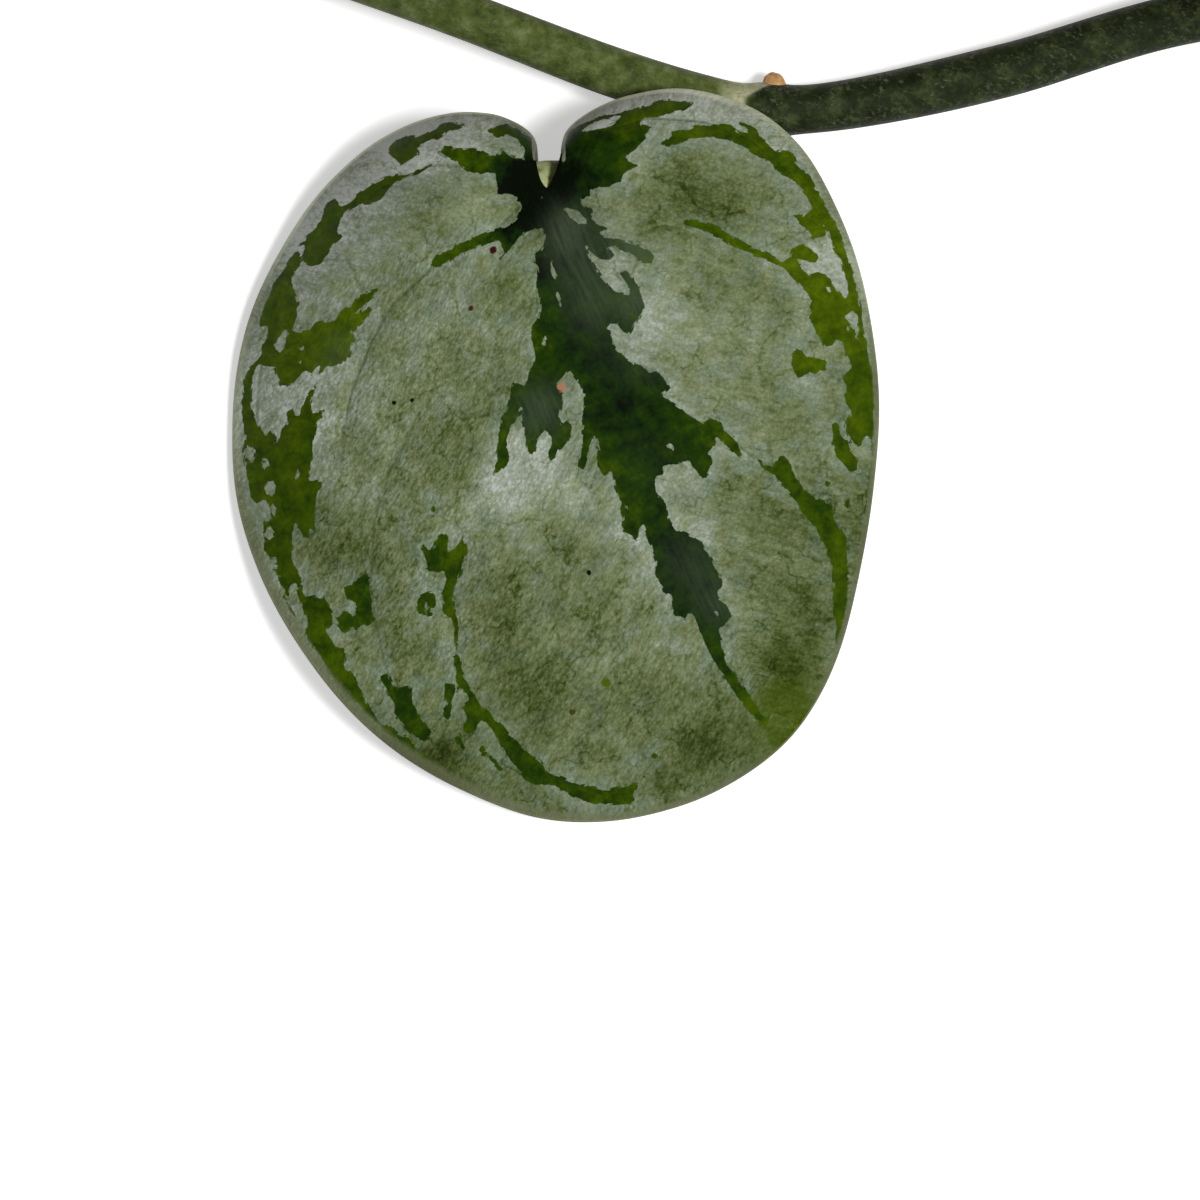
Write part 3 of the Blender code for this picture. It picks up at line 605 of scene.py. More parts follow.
# %% The patch along the midrib
GREEN_MARKS["midrib"] = [
    # down the left side, round the prongs and the tail, and up the right side
    [(-1.6, 1), (-2.2, 3.5), (-3.4, 7), (-4.4, 8.8), (-6, 9.3), (-7.1, 10.6), (-6.6, 11.2),
     (-7.2, 12.8), (-8.1, 14.4), (-8.3, 16.2), (-9, 18), (-10, 19.4), (-11.2, 19.8),
     (-12, 20.6), (-12.1, 22.3), (-12.6, 24.8), (-14.5, 26.4), (-16.3, 28.4), (-17.2, 27.3),
     (-18, 27.2), (-20.1, 30.3), (-22, 32), (-24.2, 35.2), (-25.5, 37.7), (-27.8, 40.5),
     (-26.2, 39.8), (-24, 39), (-22.9, 38.2), (-23, 36.8), (-22.5, 35.2), (-21, 33.8),
     (-19.4, 32.4), (-18.2, 31.4), (-19.2, 33.4), (-19.2, 35.4), (-20.3, 37.9), (-20, 39.5),
     (-19.4, 39.3), (-17.6, 37), (-16.3, 36.4), (-15.5, 37.5), (-15.7, 38.7), (-17.2, 40.2),
     (-17.2, 41.3), (-16.4, 41), (-15.5, 39.8), (-15.1, 40.6), (-14.2, 40.2), (-12.2, 38.6),
     (-11.6, 37.3), (-12.2, 36.4), (-14, 37.2), (-12.9, 35), (-11, 32.4), (-11.5, 30.9),
     (-11.2, 30.1), (-9.2, 29.3), (-8.3, 29), (-8.1, 30.5), (-7.7, 31.8), (-7.8, 33.6),
     (-8.8, 35.4), (-9.8, 37.2), (-10.6, 39.6), (-12, 41.7), (-13.4, 44.4), (-12.8, 45),
     (-11.6, 43.6), (-10.3, 41.6), (-8.7, 40), (-9.2, 41.6), (-10.6, 45.4), (-10.2, 47.3),
     (-8.4, 46.5), (-9, 49.1), (-9.4, 51.4), (-10, 55), (-10.9, 56.5), (-9.9, 57.8),
     (-9.1, 59.1), (-8.3, 58), (-7.4, 56.8), (-7.3, 58.6), (-7.8, 63.2), (-8.6, 65), (-8.7, 67),
     (-8.5, 68.8), (-7.7, 69.6), (-8.3, 71.8), (-8.8, 72.9), (-7.6, 73.4), (-7, 74.2),
     (-6.4, 73.4), (-5.8, 73.6), (-5.4, 75.2), (-5.7, 77), (-5.4, 83.8), (-4.6, 87),
     (-4.2, 89.6), (-3.4, 92.4), (-2.2, 95.8), (-0.8, 95.6), (-2, 91.6), (-2.5, 88.8),
     (-3, 86.1), (-3.7, 83.8), (-3.1, 80.2), (-2.7, 77.8), (0.1, 76.8), (0.1, 74.5), (-0.7, 73),
     (-0.6, 72.1), (0.8, 71.4), (0.9, 69.3), (0.6, 65.2), (0, 62.9), (-1.3, 61.3), (-2.7, 60),
     (-3, 58.2), (-2.7, 55.2), (-3.3, 53.2), (-2.9, 51.6), (-2.1, 50.6), (-1, 50.8),
     (-0.5, 49.6), (3.7, 50.2), (4.3, 52.5), (4.7, 54.2), (6, 53.3), (7.4, 52), (7.3, 50.4),
     (8.8, 49.4), (9.4, 48.6), (10.2, 49.6), (11.4, 53.2), (12.4, 54), (12, 52.2),
     (12.4, 50.8), (11.3, 48), (10.9, 46.4), (9.9, 45.4), (8.4, 45.6), (6.9, 43.6),
     (5.1, 40.7), (3.8, 38.4), (5.6, 38), (5.2, 35.9), (4.5, 34.6), (3.4, 34.6), (3, 33.1),
     (1.5, 32), (0.1, 29.2), (0, 27.3), (0.1, 25), (0.9, 24.5), (2, 25), (2.4, 26.8),
     (3.2, 27.4), (4, 26.5), (5.6, 25.7), (6.9, 24.2), (7.4, 21), (7.2, 19.4), (6.5, 17.5),
     (5.4, 17.7), (6, 20.2), (5.4, 21.3), (4.2, 20.8), (3.4, 20.4), (2.4, 17), (2, 14),
     (2, 11.4), (2.8, 13.2), (3.7, 14.2), (4.6, 15), (5.7, 14.5), (5, 12.7), (6, 13),
     (8.3, 15.8), (9.6, 17.5), (10.8, 18.1), (11.7, 17.5), (11.4, 16.2), (10.2, 14.8),
     (7.4, 12.3), (5.5, 11.2), (5.2, 10.4), (6.6, 10), (5.4, 9), (4.7, 7.8), (5.3, 6.3),
     (4.5, 5), (4.3, 4), (5.4, 3), (2, 1)],
]
print("midrib:", len(GREEN_MARKS["midrib"]))

# %% The patches on the right lobe and margin
GREEN_MARKS["right lobe"] = [
    # from the lobe's top round to the right margin, and down it
    [(20.2, 0.8), (22, 0.2), (22.4, -0.5), (25.5, 0.3), (26.8, 0), (29.8, 1.4), (30.7, 1.1),
     (31.8, 2.3), (32.5, 3.5), (34.1, 4.6), (34.4, 3.9), (33.2, 2.2), (35, 3.5), (35.9, 4.4),
     (35.8, 6.2), (37.2, 9), (39.1, 9.8), (39.7, 10.8), (39.5, 12.1), (41, 15.7), (40.8, 17.5),
     (41.4, 21), (41.7, 25), (41.4, 29.4), (40.6, 35), (40, 38.2), (38.9, 42.3), (38, 46.5),
     (37, 50.9), (35.2, 54.8), (33.6, 58.6), (32.4, 61.4), (30, 66), (27.6, 69.4), (26.6, 71),
     (28.4, 67.6), (30.4, 64.4), (31.9, 61.8), (32.9, 59.8), (32.7, 58.1), (31.5, 58.3),
     (31.1, 59.1), (30.2, 59.1), (29.7, 57.5), (29.8, 55.2), (30.6, 54.3), (31.4, 54.1),
     (31.8, 50.6), (32.6, 49.4), (32.6, 47.6), (34.6, 46.6), (34.8, 42.3), (34.1, 41.6),
     (33, 42.2), (32, 42.1), (31.5, 40.5), (31.1, 36.5), (32.2, 35.6), (32.2, 34.6),
     (33.2, 34), (32.7, 32.3), (31.6, 29.8), (30.7, 27.4), (29.3, 25.7), (27.7, 24.3),
     (25.5, 22), (24.1, 20.3), (22.4, 18.1), (20, 16), (18.4, 14.7), (18.4, 13.9),
     (19.7, 14), (21.8, 15.5), (23.5, 17.2), (25.4, 19.9), (27, 21.9), (28.6, 23.4),
     (30.2, 25.2), (31, 26.5), (32.4, 26.2), (33, 25.1), (35.2, 24.8), (36.2, 26.1),
     (36.8, 27.6), (36, 28.4), (35, 28.1), (33.4, 26.9), (33.6, 28.6), (34.2, 30.1),
     (36, 30.3), (36.9, 31), (37.5, 34), (38.3, 35.6), (39, 35), (39.6, 33), (40, 29.8),
     (39.7, 27.7), (40, 25), (39.8, 23.3), (39.1, 24.8), (37.2, 24.7), (36.4, 22.3),
     (35.6, 20.2), (37.2, 20.6), (39.1, 19.8), (38.9, 17.1), (38.2, 15), (35.9, 12.1),
     (35.6, 10.2), (34.1, 8.9), (32.4, 6.4), (30.4, 4.2), (27.5, 2.5), (25.5, 2), (21, 1.6)],
    [(26.9, 40.1), (28, 40.7), (28.3, 42.3), (30.7, 43.4), (31.1, 44.5), (30.6, 45.9),
     (29.7, 45.1), (28.4, 45.5), (27.6, 44.8), (25.7, 44.9), (25.5, 43.2), (26.2, 41.4)],
    [(28, 53.9), (28.7, 54.2), (28.7, 56.4), (29.3, 57.7), (29.2, 59.2), (29.7, 60.9),
     (28.8, 62.5), (27.5, 62.5), (27.2, 60.7), (26.5, 59.5), (26.7, 57.2), (27.4, 55.9)],
    # the long line below, and its end along the margin
    [(14.5, 54.8), (15, 56), (16.2, 56.4), (17.1, 55.9), (18.4, 55.7), (19, 57), (18.8, 59.4),
     (19.4, 61.8), (20.6, 64.5), (21.8, 65.2), (22.6, 66), (22.3, 69.4), (22.8, 72),
     (22, 75), (20.4, 78.4), (18.4, 82.8), (16.2, 86.2), (14, 88.6), (15.6, 85), (16.2, 82),
     (17.6, 78.8), (18.6, 76), (18.9, 73), (18.7, 69), (17.6, 64.5), (16.6, 60.8), (15.8, 58.1),
     (14.6, 56.4)],
    [(24.9, 66.6), (25.7, 66.5), (25.7, 68), (25.1, 68.6)],
    [(22.3, 63.3), (23.2, 62.4), (24, 62.8), (23.3, 63.6)],
]
print("right lobe:", len(GREEN_MARKS["right lobe"]))

# %% Silver inside the green, and the side veins
SILVER_MARKS = [
    [(-61.9, 23.6), (-61, 22), (-60, 22.4), (-60.5, 23.8), (-61.5, 24)],
    [(-62.8, 27.3), (-62, 25.9), (-60.5, 25.9), (-60.5, 27.2), (-61.9, 28.4)],
    [(-57.4, 27.3), (-56.3, 25.8), (-55.6, 26), (-56.7, 27.4)],
    [(-65.8, 33), (-64.4, 32.7), (-64, 34.3), (-65.3, 34.7)],
    [(-59, 36.2), (-58.3, 35.7), (-57.8, 36.3), (-58.3, 36.8)],
    [(-62.7, 29.6), (-61.7, 29.8), (-62.9, 31.4)],
    [(-63.7, 19.4), (-62.2, 18.9), (-61.4, 20.8), (-62.9, 21.7)],
    [(-46.6, 55.1), (-45.6, 54.3), (-44.9, 55), (-46, 56)],
    [(-48, 7.6), (-47.4, 7.6), (-47.5, 8.2), (-48, 8.2)],
    [(-49.4, 9.6), (-48.4, 9.6), (-48.4, 10), (-49.3, 10.1)],
    [(8.8, -6.3), (10.5, -6.9), (13.3, -6.8), (15.8, -6.1), (14.2, -5.4), (11, -5.5)],
    [(-4.2, 11.2), (-4.4, 14.2), (-4.9, 14.3), (-4.5, 12)],
    [(-5.2, 16.4), (-5.3, 19), (-6, 19.2), (-5.7, 17)],
    [(-10.6, 22.2), (-10, 22.4), (-10.2, 23.6), (-10.8, 23.4)],
    [(-8.7, 41), (-8.2, 40.2), (-9.3, 43.6), (-9.8, 44)],
    [(1.6, 46.4), (2.1, 46.6), (2.1, 47.6), (1.6, 47.5)],
    [(-2.3, 74.6), (-1.9, 74.6), (-1.5, 75.6), (-2, 75.7)],
    [(-8.9, 52.6), (-8.6, 52.6), (-8.7, 53.6), (-9.2, 53.7)],
    [(36, 32.6), (36.7, 33), (36.5, 34), (36, 33.8)],
    [(36.8, 38.5), (38.6, 38.1), (38.9, 39.6), (38, 41.9), (37.2, 43), (37.7, 40.6)],
    [(36.4, 40.3), (36.9, 40.3), (36.8, 40.9), (36.4, 40.9)],
    [(1.2, 4.2), (2.6, 5.1), (3.5, 6), (3.9, 7.4), (3.5, 8), (2.6, 7.4), (1.8, 6)],
    [(-12.3, -12), (-11.2, -12.1), (-11.4, -11.5)],
]
# Lines of the side veins: (right, down) points.
VEINS = [
    [(-34, 25.5), (-37, 28), (-41.5, 31.5), (-45, 35.5), (-48.5, 39.5), (-50.5, 44), (-52.6, 48),
     (-54.4, 54), (-55.7, 61), (-56.2, 67)],
    [(-35.5, 48), (-40, 53.5), (-42.5, 59.5), (-44.5, 66), (-44.5, 74), (-43, 81), (-39, 88), (-31, 96),
     (-20, 100)],
    [(-5, 1), (-12, 3.6), (-22, 4.4), (-31, 7.5), (-37, 12), (-43, 18), (-48, 25)],
    [(-9, -7.5), (-16, -11), (-25, -11), (-35, -9.5), (-43, -5.5), (-50, 1.5), (-56, 9), (-60, 17)],
    [(11, -5), (20, -4), (28, 0), (34, 5.5), (38, 13), (40, 22)],
    [(11.5, 13), (19, 14.5), (25, 20), (31, 27), (36, 36), (36.5, 48)],
    [(9, 46), (14.5, 55), (18, 60), (20, 66), (20.5, 74), (17, 83)],
    [(-11, 46), (-20, 55), (-27, 65), (-29, 75), (-26, 85)],
    [(-4, 64), (4, 73), (11, 81), (13, 88)],
]
patches = sum(map(len, GREEN_MARKS.values()))
print("green patches:", patches, "silver:", len(SILVER_MARKS), "side veins:", len(VEINS))

# %% From outlines to values
# How far from a patch, in hundredths of the blade's length, its distance is still worked out.
MARK_REACH = 9


def gap_to(places, line):
    """The distance from each place to the nearest point of a line of straight steps."""
    nearest = np.full(len(places), 1e6)
    for start, end in zip(line[:-1], line[1:]):
        step = end - start
        off = places - start
        along = np.clip(off @ step / max(step @ step, 1e-9), 0, 1)
        np.minimum(nearest, ((off - along[:, None] * step) ** 2).sum(axis=1), out=nearest)
    return np.sqrt(nearest)


def is_inside(places, line):
    """Whether a ray to the right of each place crosses the closed line an odd number of times."""
    x, y = places.T
    inside = np.zeros(len(places), bool)
    for start, end in zip(line[:-1], line[1:]):
        if start[1] != end[1]:
            crossing = start[0] + (end[0] - start[0]) * (y - start[1]) / (end[1] - start[1])
            inside ^= ((start[1] > y) != (end[1] > y)) & (x < crossing)
    return inside


def depth_inside(places, outlines):
    """How deep each place lies inside the outlines: the distance to the nearest edge, less than zero
    outside. Past MARK_REACH it isn't worked out."""
    deepest = np.full(len(places), -float(MARK_REACH))
    for outline in outlines:
        line = np.array(outline + outline[:1])
        close = np.all(np.abs(places - line.mean(axis=0)) < np.ptp(line, axis=0) + MARK_REACH, axis=1)
        near = places[close]
        depth = gap_to(near, line) * np.where(is_inside(near, line), 1, -1)
        deepest[close] = np.maximum(deepest[close], depth)
    return deepest


middle = depth_inside(np.array([(0.0, 40.0)]), GREEN_MARKS["midrib"])
print("the middle of the midrib lies", middle.round(2), "hundredths inside its patch")

# %% Soft spots over the blade


def soft_spots(places, spots):
    """The sum of strength * exp(-(distance / reach)^2) over (right, down, reach, strength) spots."""
    total = np.zeros(len(places))
    for x, y, reach, strength in spots:
        total += strength * np.exp(-((places[:, 0] - x) ** 2 + (places[:, 1] - y) ** 2) / reach**2)
    return total


# Each is (right, down, reach, strength), in the measures of the marks.
# Where the silver is lighter, or duller with a strength below zero: partly clouds of its own tone, and
# partly painted highlights, sheen and shade, such as the lighter upper margin and the darker lower
# right and lower margin:
SILVER_TONE_AND_PAINTED_LIGHT = [
    (-24, 41, 8, 0.36), (-16, 43, 6, 0.12), (-52, 7, 9, 0.1), (-61, 17, 8, 0.25), (5.5, 26, 8, 0.15),
    (0, 45, 7, 0.15), (12, 30, 8, 0.1), (38, 32, 7, 0.25), (38, 4.5, 9, 0.25), (-13.5, -17.5, 7, 0.25),
    (-30.5, -15.5, 8, 0.28), (-5.5, 57.5, 7, 0.2), (-7.5, 22.5, 5, 0.1), (-43, 50, 4, 0.15),
    (-2.5, 3, 6, -0.2), (22, 13, 9, -0.28), (-29, 8, 9, -0.1), (-48, 44, 12, -0.12), (-30, 62, 10, -0.14),
    (-28, 75, 10, -0.08), (-8, 91, 9, -0.2), (-40, 90, 8, -0.14), (-53, 80, 8, -0.3), (-33, 33, 7, -0.1),
    (12, 84, 12, -0.26), (-24, 70, 14, 0.08), (-38, 74, 8, -0.2), (-22, 98, 10, -0.1), (-52, 55, 8, -0.15),
    (22, 40, 10, -0.08), (14, 66, 8, -0.12), (26, 66, 8, -0.25), (-38, 57, 8, -0.1), (-57, 37, 6, -0.2),
    (-17, 66, 8, -0.12), (-20, -18, 8, 0.45), (-40, -12, 8, 0.3), (-6, -15, 5, 0.3), (-45, -4, 8, 0.15),
    (-58, 6, 8, 0.15), (17, -8, 8, 0.45), (9, -8, 5, 0.3), (30, -4, 6, 0.3), (-33, -5, 9, 0.2),
    (-20, 9, 8, 0.12), (-48, 22, 9, 0.12), (20, 12, 14, -0.06), (-28, 36, 6, -0.25), (-10, 43, 4, -0.25),
    (-63, 66, 9, -0.15), (-58, 78, 8, -0.3), (-46, 93, 8, -0.06), (-8, 101, 9, -0.15), (24, 76, 7, -0.15),
    (37, 52, 7, -0.2), (-21, 30, 5, -0.2), (-11, 11, 6, -0.14), (-11, 22, 5, -0.12), (-28, 42, 5, 0.06),
    (20, 40, 6, 0.12), (-33, 88, 5, 0.12), (9, 61, 6, -0.16), (-32, 82, 7, -0.16), (-19, 90, 8, -0.16),
    (-14, 57, 4, 0.2), (-19, 55, 5, -0.16), (-48, 36, 5, 0.12), (-34, 15, 7, 0.12), (-51, 16, 6, 0.12),
    (6, 87, 5, -0.12), (14.5, 14, 3.5, 0.15), (-45, 55, 5, 0.12), (-13, 48, 3, 0.2), (4, 62, 5, 0.2),
]
COARSE_GRAIN = [(-38, 18, 22, 0.55), (-45, 50, 22, 0.55), (-15, 75, 18, 0.35), (-18, 20, 12, 0.2)]
# Where the green is deeper: its own darker green, and at the notch's foot, the first two spots,
# partly painted shade in the funnel:
GREEN_DEPTHS = [
    (-5, 0, 6, 0.8), (0, -1, 6, 0.7), (9.5, 0, 7, 0.3), (-6, 11, 6, 0.45), (-3.5, 24, 8, 0.42),
    (-3, 37, 8, 0.32), (-1, 50, 8, 0.3), (-4, 62, 8, 0.36), (-3, 73, 8, 0.36), (3, 38, 9, 0.12),
    (8, 48, 7, 0.05), (9, 15, 4, -0.15), (4, 13, 7, 0.35), (-16, 33, 8, 0.3), (-42, 8, 8, -0.16),
    (-60, 62, 9, -0.02), (37, 30, 14, -0.16), (-49, 46, 12, 0.22), (-54, 68, 9, 0.24), (20, 66, 10, 0.12),
    (-42, 84, 12, 0.12), (1, 98, 6, -0.1), (-4, 84, 5, 0.25), (-46, -5, 12, -0.05), (-34, 94, 12, 0.1),
]
# Where a grey sheen is painted over the green, as a reflection on the midrib:
MIDRIB_PAINTED_SHEEN = [
    (1.5, 6.5, 3.2, 0.9), (-2, 8, 3, 0.4), (0.8, 12, 5, 0.75), (0, 20, 5, 0.7), (-1, 28, 5, 0.12),
    (8, 15, 4, 0.8), (6, 23, 3, 0.8), (3, 33, 4, 0.3), (-15.5, 33, 4, 0.9), (-2, 66, 5, 0.5),
    (-1, 74, 4, 0.6), (-42, 12, 4, 0.5), (-2, 48, 6, 0.08), (10, 16, 3, 0.5),
]
# Where a highlight is painted on the rolled margin at the top of the lobes, which the lamp leaves in
# shade, and where the silver is a fresh yellowish green:
PAINTED_EDGE_LIGHTS = [
    (-24, -18, 12, 0.5), (-42, -12, 10, 0.35), (-8, -17, 8, 0.5), (14, -9, 9, 0.6), (27, -6, 8, 0.4)]
TIP_TINT = [(1, 98, 5, 1.2), (4, 94, 5, 0.8), (0, 93, 4, 0.5), (6, 87, 7, 0.45), (-6, 100, 5, 0.3)]
# How far apart two leaves lie in the third coordinate of their noise, so that no two look the same.
PLACE_STEP = 9.0
print("soft spots:", len(SILVER_TONE_AND_PAINTED_LIGHT), "on the silver and", len(GREEN_DEPTHS), "on the green")

# %% [markdown]
# ## Finishes
#
# `Finish` builds one node material, a line of code to a node. Its first half, `Nodes`, sets and links
# the sockets. Every pattern reads either the piece's own attributes, so that it follows the surface,
# or Object coordinates.

# %% A material and its nodes


def paint(red, green, blue):
    """A colour as a screen shows it, 0 to 255, made linear: ((v / 255 + 0.055) / 1.055)^2.4, or
    v / 255 / 12.92 where v is 10 or less."""
    shares = [v / 255 for v in (red, green, blue)]
    return tuple(((v + 0.055) / 1.055) ** 2.4 if v > 0.04 else v / 12.92 for v in shares)


class Nodes:
    """A material being built round its Principled shader, `skin`, with sums of outputs and numbers."""

    def __init__(self, name, **settings):
        self.material = bpy.data.materials.new(name)
        self.material.use_nodes = True
        self.tree = self.material.node_tree
        self.skin = self.tree.nodes["Principled BSDF"]
        self.set(self.skin, {key.replace("_", " "): value for key, value in settings.items()})

    def set(self, node, values):
        """Links an output to the named input, or writes a plain value there."""
        for key, value in values.items():
            socket = node.inputs[key]
            if isinstance(value, bpy.types.NodeSocket):
                self.tree.links.new(value, socket)
            elif socket.type == "RGBA":
                socket.default_value = (*value, 1)
            else:
                socket.default_value = value

    def add(self, kind, values, output=0, **settings):
        """A new node with these input values and settings. Returns one of its outputs."""
        node = self.tree.nodes.new("ShaderNode" + kind)
        for key, value in settings.items():
            setattr(node, key, value)
        self.set(node, values)
        return node.outputs[output]

    def place(self):
        """Object coordinates, in metres."""
        return self.add("TexCoord", {}, "Object")

    def value(self, name):
        """One of the piece's own attributes."""
        return self.add("Attribute", {}, "Fac", attribute_name=name)

    def math(self, operation, *values):
        """A Math node on outputs and numbers."""
        return self.add("Math", dict(enumerate(values)), operation=operation)

    def plus(self, first, second):
        return self.math("ADD", first, second)

    def times(self, first, second):
        return self.math("MULTIPLY", first, second)

    def scaled(self, value, scale, offset):
        """value * scale + offset."""
        return self.math("MULTIPLY_ADD", value, scale, offset)

    def falling(self, share, most):
        """most where the share is 0, down to 0 where it is 1."""
        return self.scaled(share, -most, most)


print("a middle grey of 128 is", round(paint(128, 128, 128)[0], 3), "once linear")

# %% Patterns and colours


class Finish(Nodes):
    """A material with noise, cells, ramps and relief. The colours given to mix and ramp are as a
    screen shows them, 0 to 255."""

    def noise(self, at, size, detail=2, roughness=0.5):
        """Cloudy noise of 0 to 1, with lumps of about the size, in the units of `at`."""
        values = {"Vector": at, "Scale": 1 / size, "Detail": detail, "Roughness": roughness}
        return self.add("TexNoise", values)

    def about(self, noise, reach):
        """Noise of 0 to 1 made an offset of -reach to reach."""
        return self.scaled(noise, 2 * reach, -reach)

    def uneven(self, name, at, size, reach, detail=2):
        """An attribute with an offset of noise, so that what is cut from it has a wandering edge."""
        return self.plus(self.value(name), self.about(self.noise(at, size, detail), reach))

    def stretched(self, at, scale, turn=0.0):
        """The coordinates turned about Z by an angle in degrees, then scaled along X, Y and Z."""
        values = {"Vector": at, "Angle": math.radians(turn)}
        turned = self.add("VectorRotate", values, rotation_type="Z_AXIS")
        return self.add("VectorMath", {0: turned, 1: scale}, operation="MULTIPLY")

    def shaken(self, at, scale, detail, reach):
        """The coordinates pushed about by noise, so that what reads them is wavy."""
        push = self.add("TexNoise", {"Vector": at, "Scale": scale, "Detail": detail}, "Color")
        return self.add("VectorMath", {0: push, 1: (reach,) * 3, 2: at}, operation="MULTIPLY_ADD")

    def cells(self, at, size):
        """Cells of about the size, each with its own value of 0 to 1."""
        colour = self.add("TexVoronoi", {"Vector": at, "Scale": 1 / size}, "Color")
        return self.add("SeparateColor", {"Color": colour})

    def step(self, value, low, high):
        """0 at low, 1 at high, smooth between."""
        values = {"Value": value, "From Min": low, "From Max": high}
        return self.add("MapRange", values, interpolation_type="SMOOTHSTEP")

    def mix(self, share, first, second):
        """first where the share is 0, second where it is 1: each an output or a colour."""
        # The Mix node has sockets for every kind of value. Its colours A and B are 6 and 7, and
        # their result is 2.
        node = self.tree.nodes.new("ShaderNodeMix")
        node.data_type = "RGBA"
        self.tree.links.new(share, node.inputs[0])
        for socket, value in zip((node.inputs[6], node.inputs[7]), (first, second)):
            if isinstance(value, bpy.types.NodeSocket):
                self.tree.links.new(value, socket)
            else:
                socket.default_value = (*paint(*value), 1)
        return node.outputs[2]

    def ramp(self, value, stops):
        """Colours along a value: stops are (position, colour)."""
        node = self.tree.nodes.new("ShaderNodeValToRGB")
        points = node.color_ramp.elements
        while len(points) < len(stops):
            points.new(0.5)
        for point, (position, colour) in zip(points, stops):
            point.position = position
            point.color = (*paint(*colour), 1)
        self.tree.links.new(value, node.inputs["Fac"])
        return node.outputs["Color"]

    def bump(self, height, depth, under=None):
        """Relief `depth` high where height goes from 0 to 1. `under` is a relief that it lies on."""
        values = {"Height": height, "Distance": depth}
        if under is not None:
            values["Normal"] = under
        return self.add("Bump", values)


def mottled(name, roughness, gloss, clouds, colours, grain, depth, stretch=None):
    """A plain material: colours along clouds of noise, and a fine relief. clouds and grain are what
    noise takes, and stretch, what stretched takes, draws the clouds out into fibres."""
    f = Finish(name, Roughness=roughness, Specular_IOR_Level=gloss)
    place = f.place()
    at = f.stretched(place, *stretch) if stretch else place
    relief = f.bump(f.noise(place, *grain), depth)
    f.set(f.skin, {"Base Color": f.ramp(f.noise(at, *clouds), colours), "Normal": relief})
    return f.material


print("a finish can:", ", ".join(name for name in vars(Finish) if name[0] != "_"))

# %% [markdown]
# ## The leaf's finish
#
# Four things make the leaf: satin silver with a fine wrinkled grain, soft clouds of olive and painted
# highlights, sheen and shade, broken creases across it painted darker as shade, dark green patches with
# a stepped edge and a painted grey sheen on the midrib, and a paler band where the margin rolls over,
# partly a painted highlight. The attribute `marks` is cut where it crosses zero. Before the cut, each
# small cell adds its own offset, so the edge follows cells, as in the real leaf. Each of these is
# worked out by a function of its own, and `leaf_finish` puts them together. `place` is a point's place
# on the blade in mm.

# %% Where the green shows
# How far the edge of the green moves in or out, in mm, by its cells and by noise.
CELL_REACH = 0.10
RAGGED_REACH = 0.16


def bare_share(f, place, shaken):
    """1 on bare green and 0 on silver: marks, plus an offset a cell and some noise, cut where the sum
    crosses zero."""
    cell = f.about(f.cells(shaken, 0.5), CELL_REACH)
    ragged = f.about(f.noise(place, 0.9), RAGGED_REACH)
    return f.step(f.plus(f.value("marks"), f.plus(cell, ragged)), -0.035, 0.035)


print("the edge moves by up to", round(CELL_REACH + RAGGED_REACH, 2), "mm")

# %% How light the silver is
# How much painted shade darkens a crease.
CREASE_SHADE = 0.16


def silver_tone(f, place, folded, wrinkles, pores, edging):
    """0 dark to 1 light: the leaf's own tone with its painted highlights and shade, clouds a few
    millimetres across, a fine diagonal grain of wrinkles and pores, and a lighter strip beside the
    green. Creases are painted darker, as shade in them: they are the borders of wavy cells about 3 mm
    across, broken up by noise."""
    broad = f.about(f.noise(place, 3.6, 4, 0.55), 0.38)
    slanting = f.about(f.noise(f.stretched(folded, (0.7, 1.6, 1.0), -34), 1.0, 3), 0.26)
    coarse = f.times(f.about(wrinkles, 0.54), f.value("grain"))
    grain = f.plus(coarse, f.scaled(pores, -0.28, 0.12))
    tone = f.plus(f.value("tone"), f.plus(f.plus(broad, slanting), grain))
    tone = f.scaled(f.scaled(edging, 0.14, tone), 0.8, 0.2)
    wavy = f.shaken(folded, 0.7, 3.0, 2.6)
    border = f.add("TexVoronoi", {"Vector": wavy, "Scale": 0.34}, "Distance", feature="DISTANCE_TO_EDGE")
    broken = f.step(f.noise(place, 3.0), 0.42, 0.58)
    # Painted shade along the creases, in colour only.
    crease = f.times(f.step(border, 0.055, 0.0), broken)
    return f.scaled(crease, -CREASE_SHADE, tone)


print("a crease is darker by", CREASE_SHADE)

# %% The colours of the silver and the green
WARM_SILVER = [
    (0.0, (34, 44, 12)), (0.2, (62, 74, 32)), (0.36, (90, 101, 62)), (0.52, (112, 122, 87)),
    (0.68, (132, 141, 109)), (0.84, (155, 162, 138)), (1.0, (182, 187, 174)),
]
COOL_SILVER = [
    (0.0, (28, 42, 20)), (0.2, (54, 68, 46)), (0.36, (84, 98, 72)), (0.52, (106, 120, 96)),
    (0.68, (129, 140, 120)), (0.84, (156, 164, 150)), (1.0, (186, 191, 184)),
]
GREENS = [
    (0.0, (84, 104, 8)), (0.3, (60, 80, 3)), (0.6, (30, 52, 4)), (0.8, (17, 36, 6)), (1.0, (6, 12, 4)),
]
# The grey of the sheen painted on the midrib, standing in for a reflection.
PAINTED_SHEEN_GREY = (66, 78, 60)


def silver_colour(f, place, tone, edging):
    """Olive silver, which turns cooler where it is light, painted highlights and sheen included, beside
    the green, and in clouds.
    """
    warm, cool = f.ramp(tone, WARM_SILVER), f.ramp(tone, COOL_SILVER)
    coolness = f.scaled(edging, 0.16, f.scaled(tone, 0.6, -0.33))
    coolness = f.plus(coolness, f.noise(place, 1.9, 4))
    return f.mix(f.step(coolness, 0.36, 0.74), warm, cool)


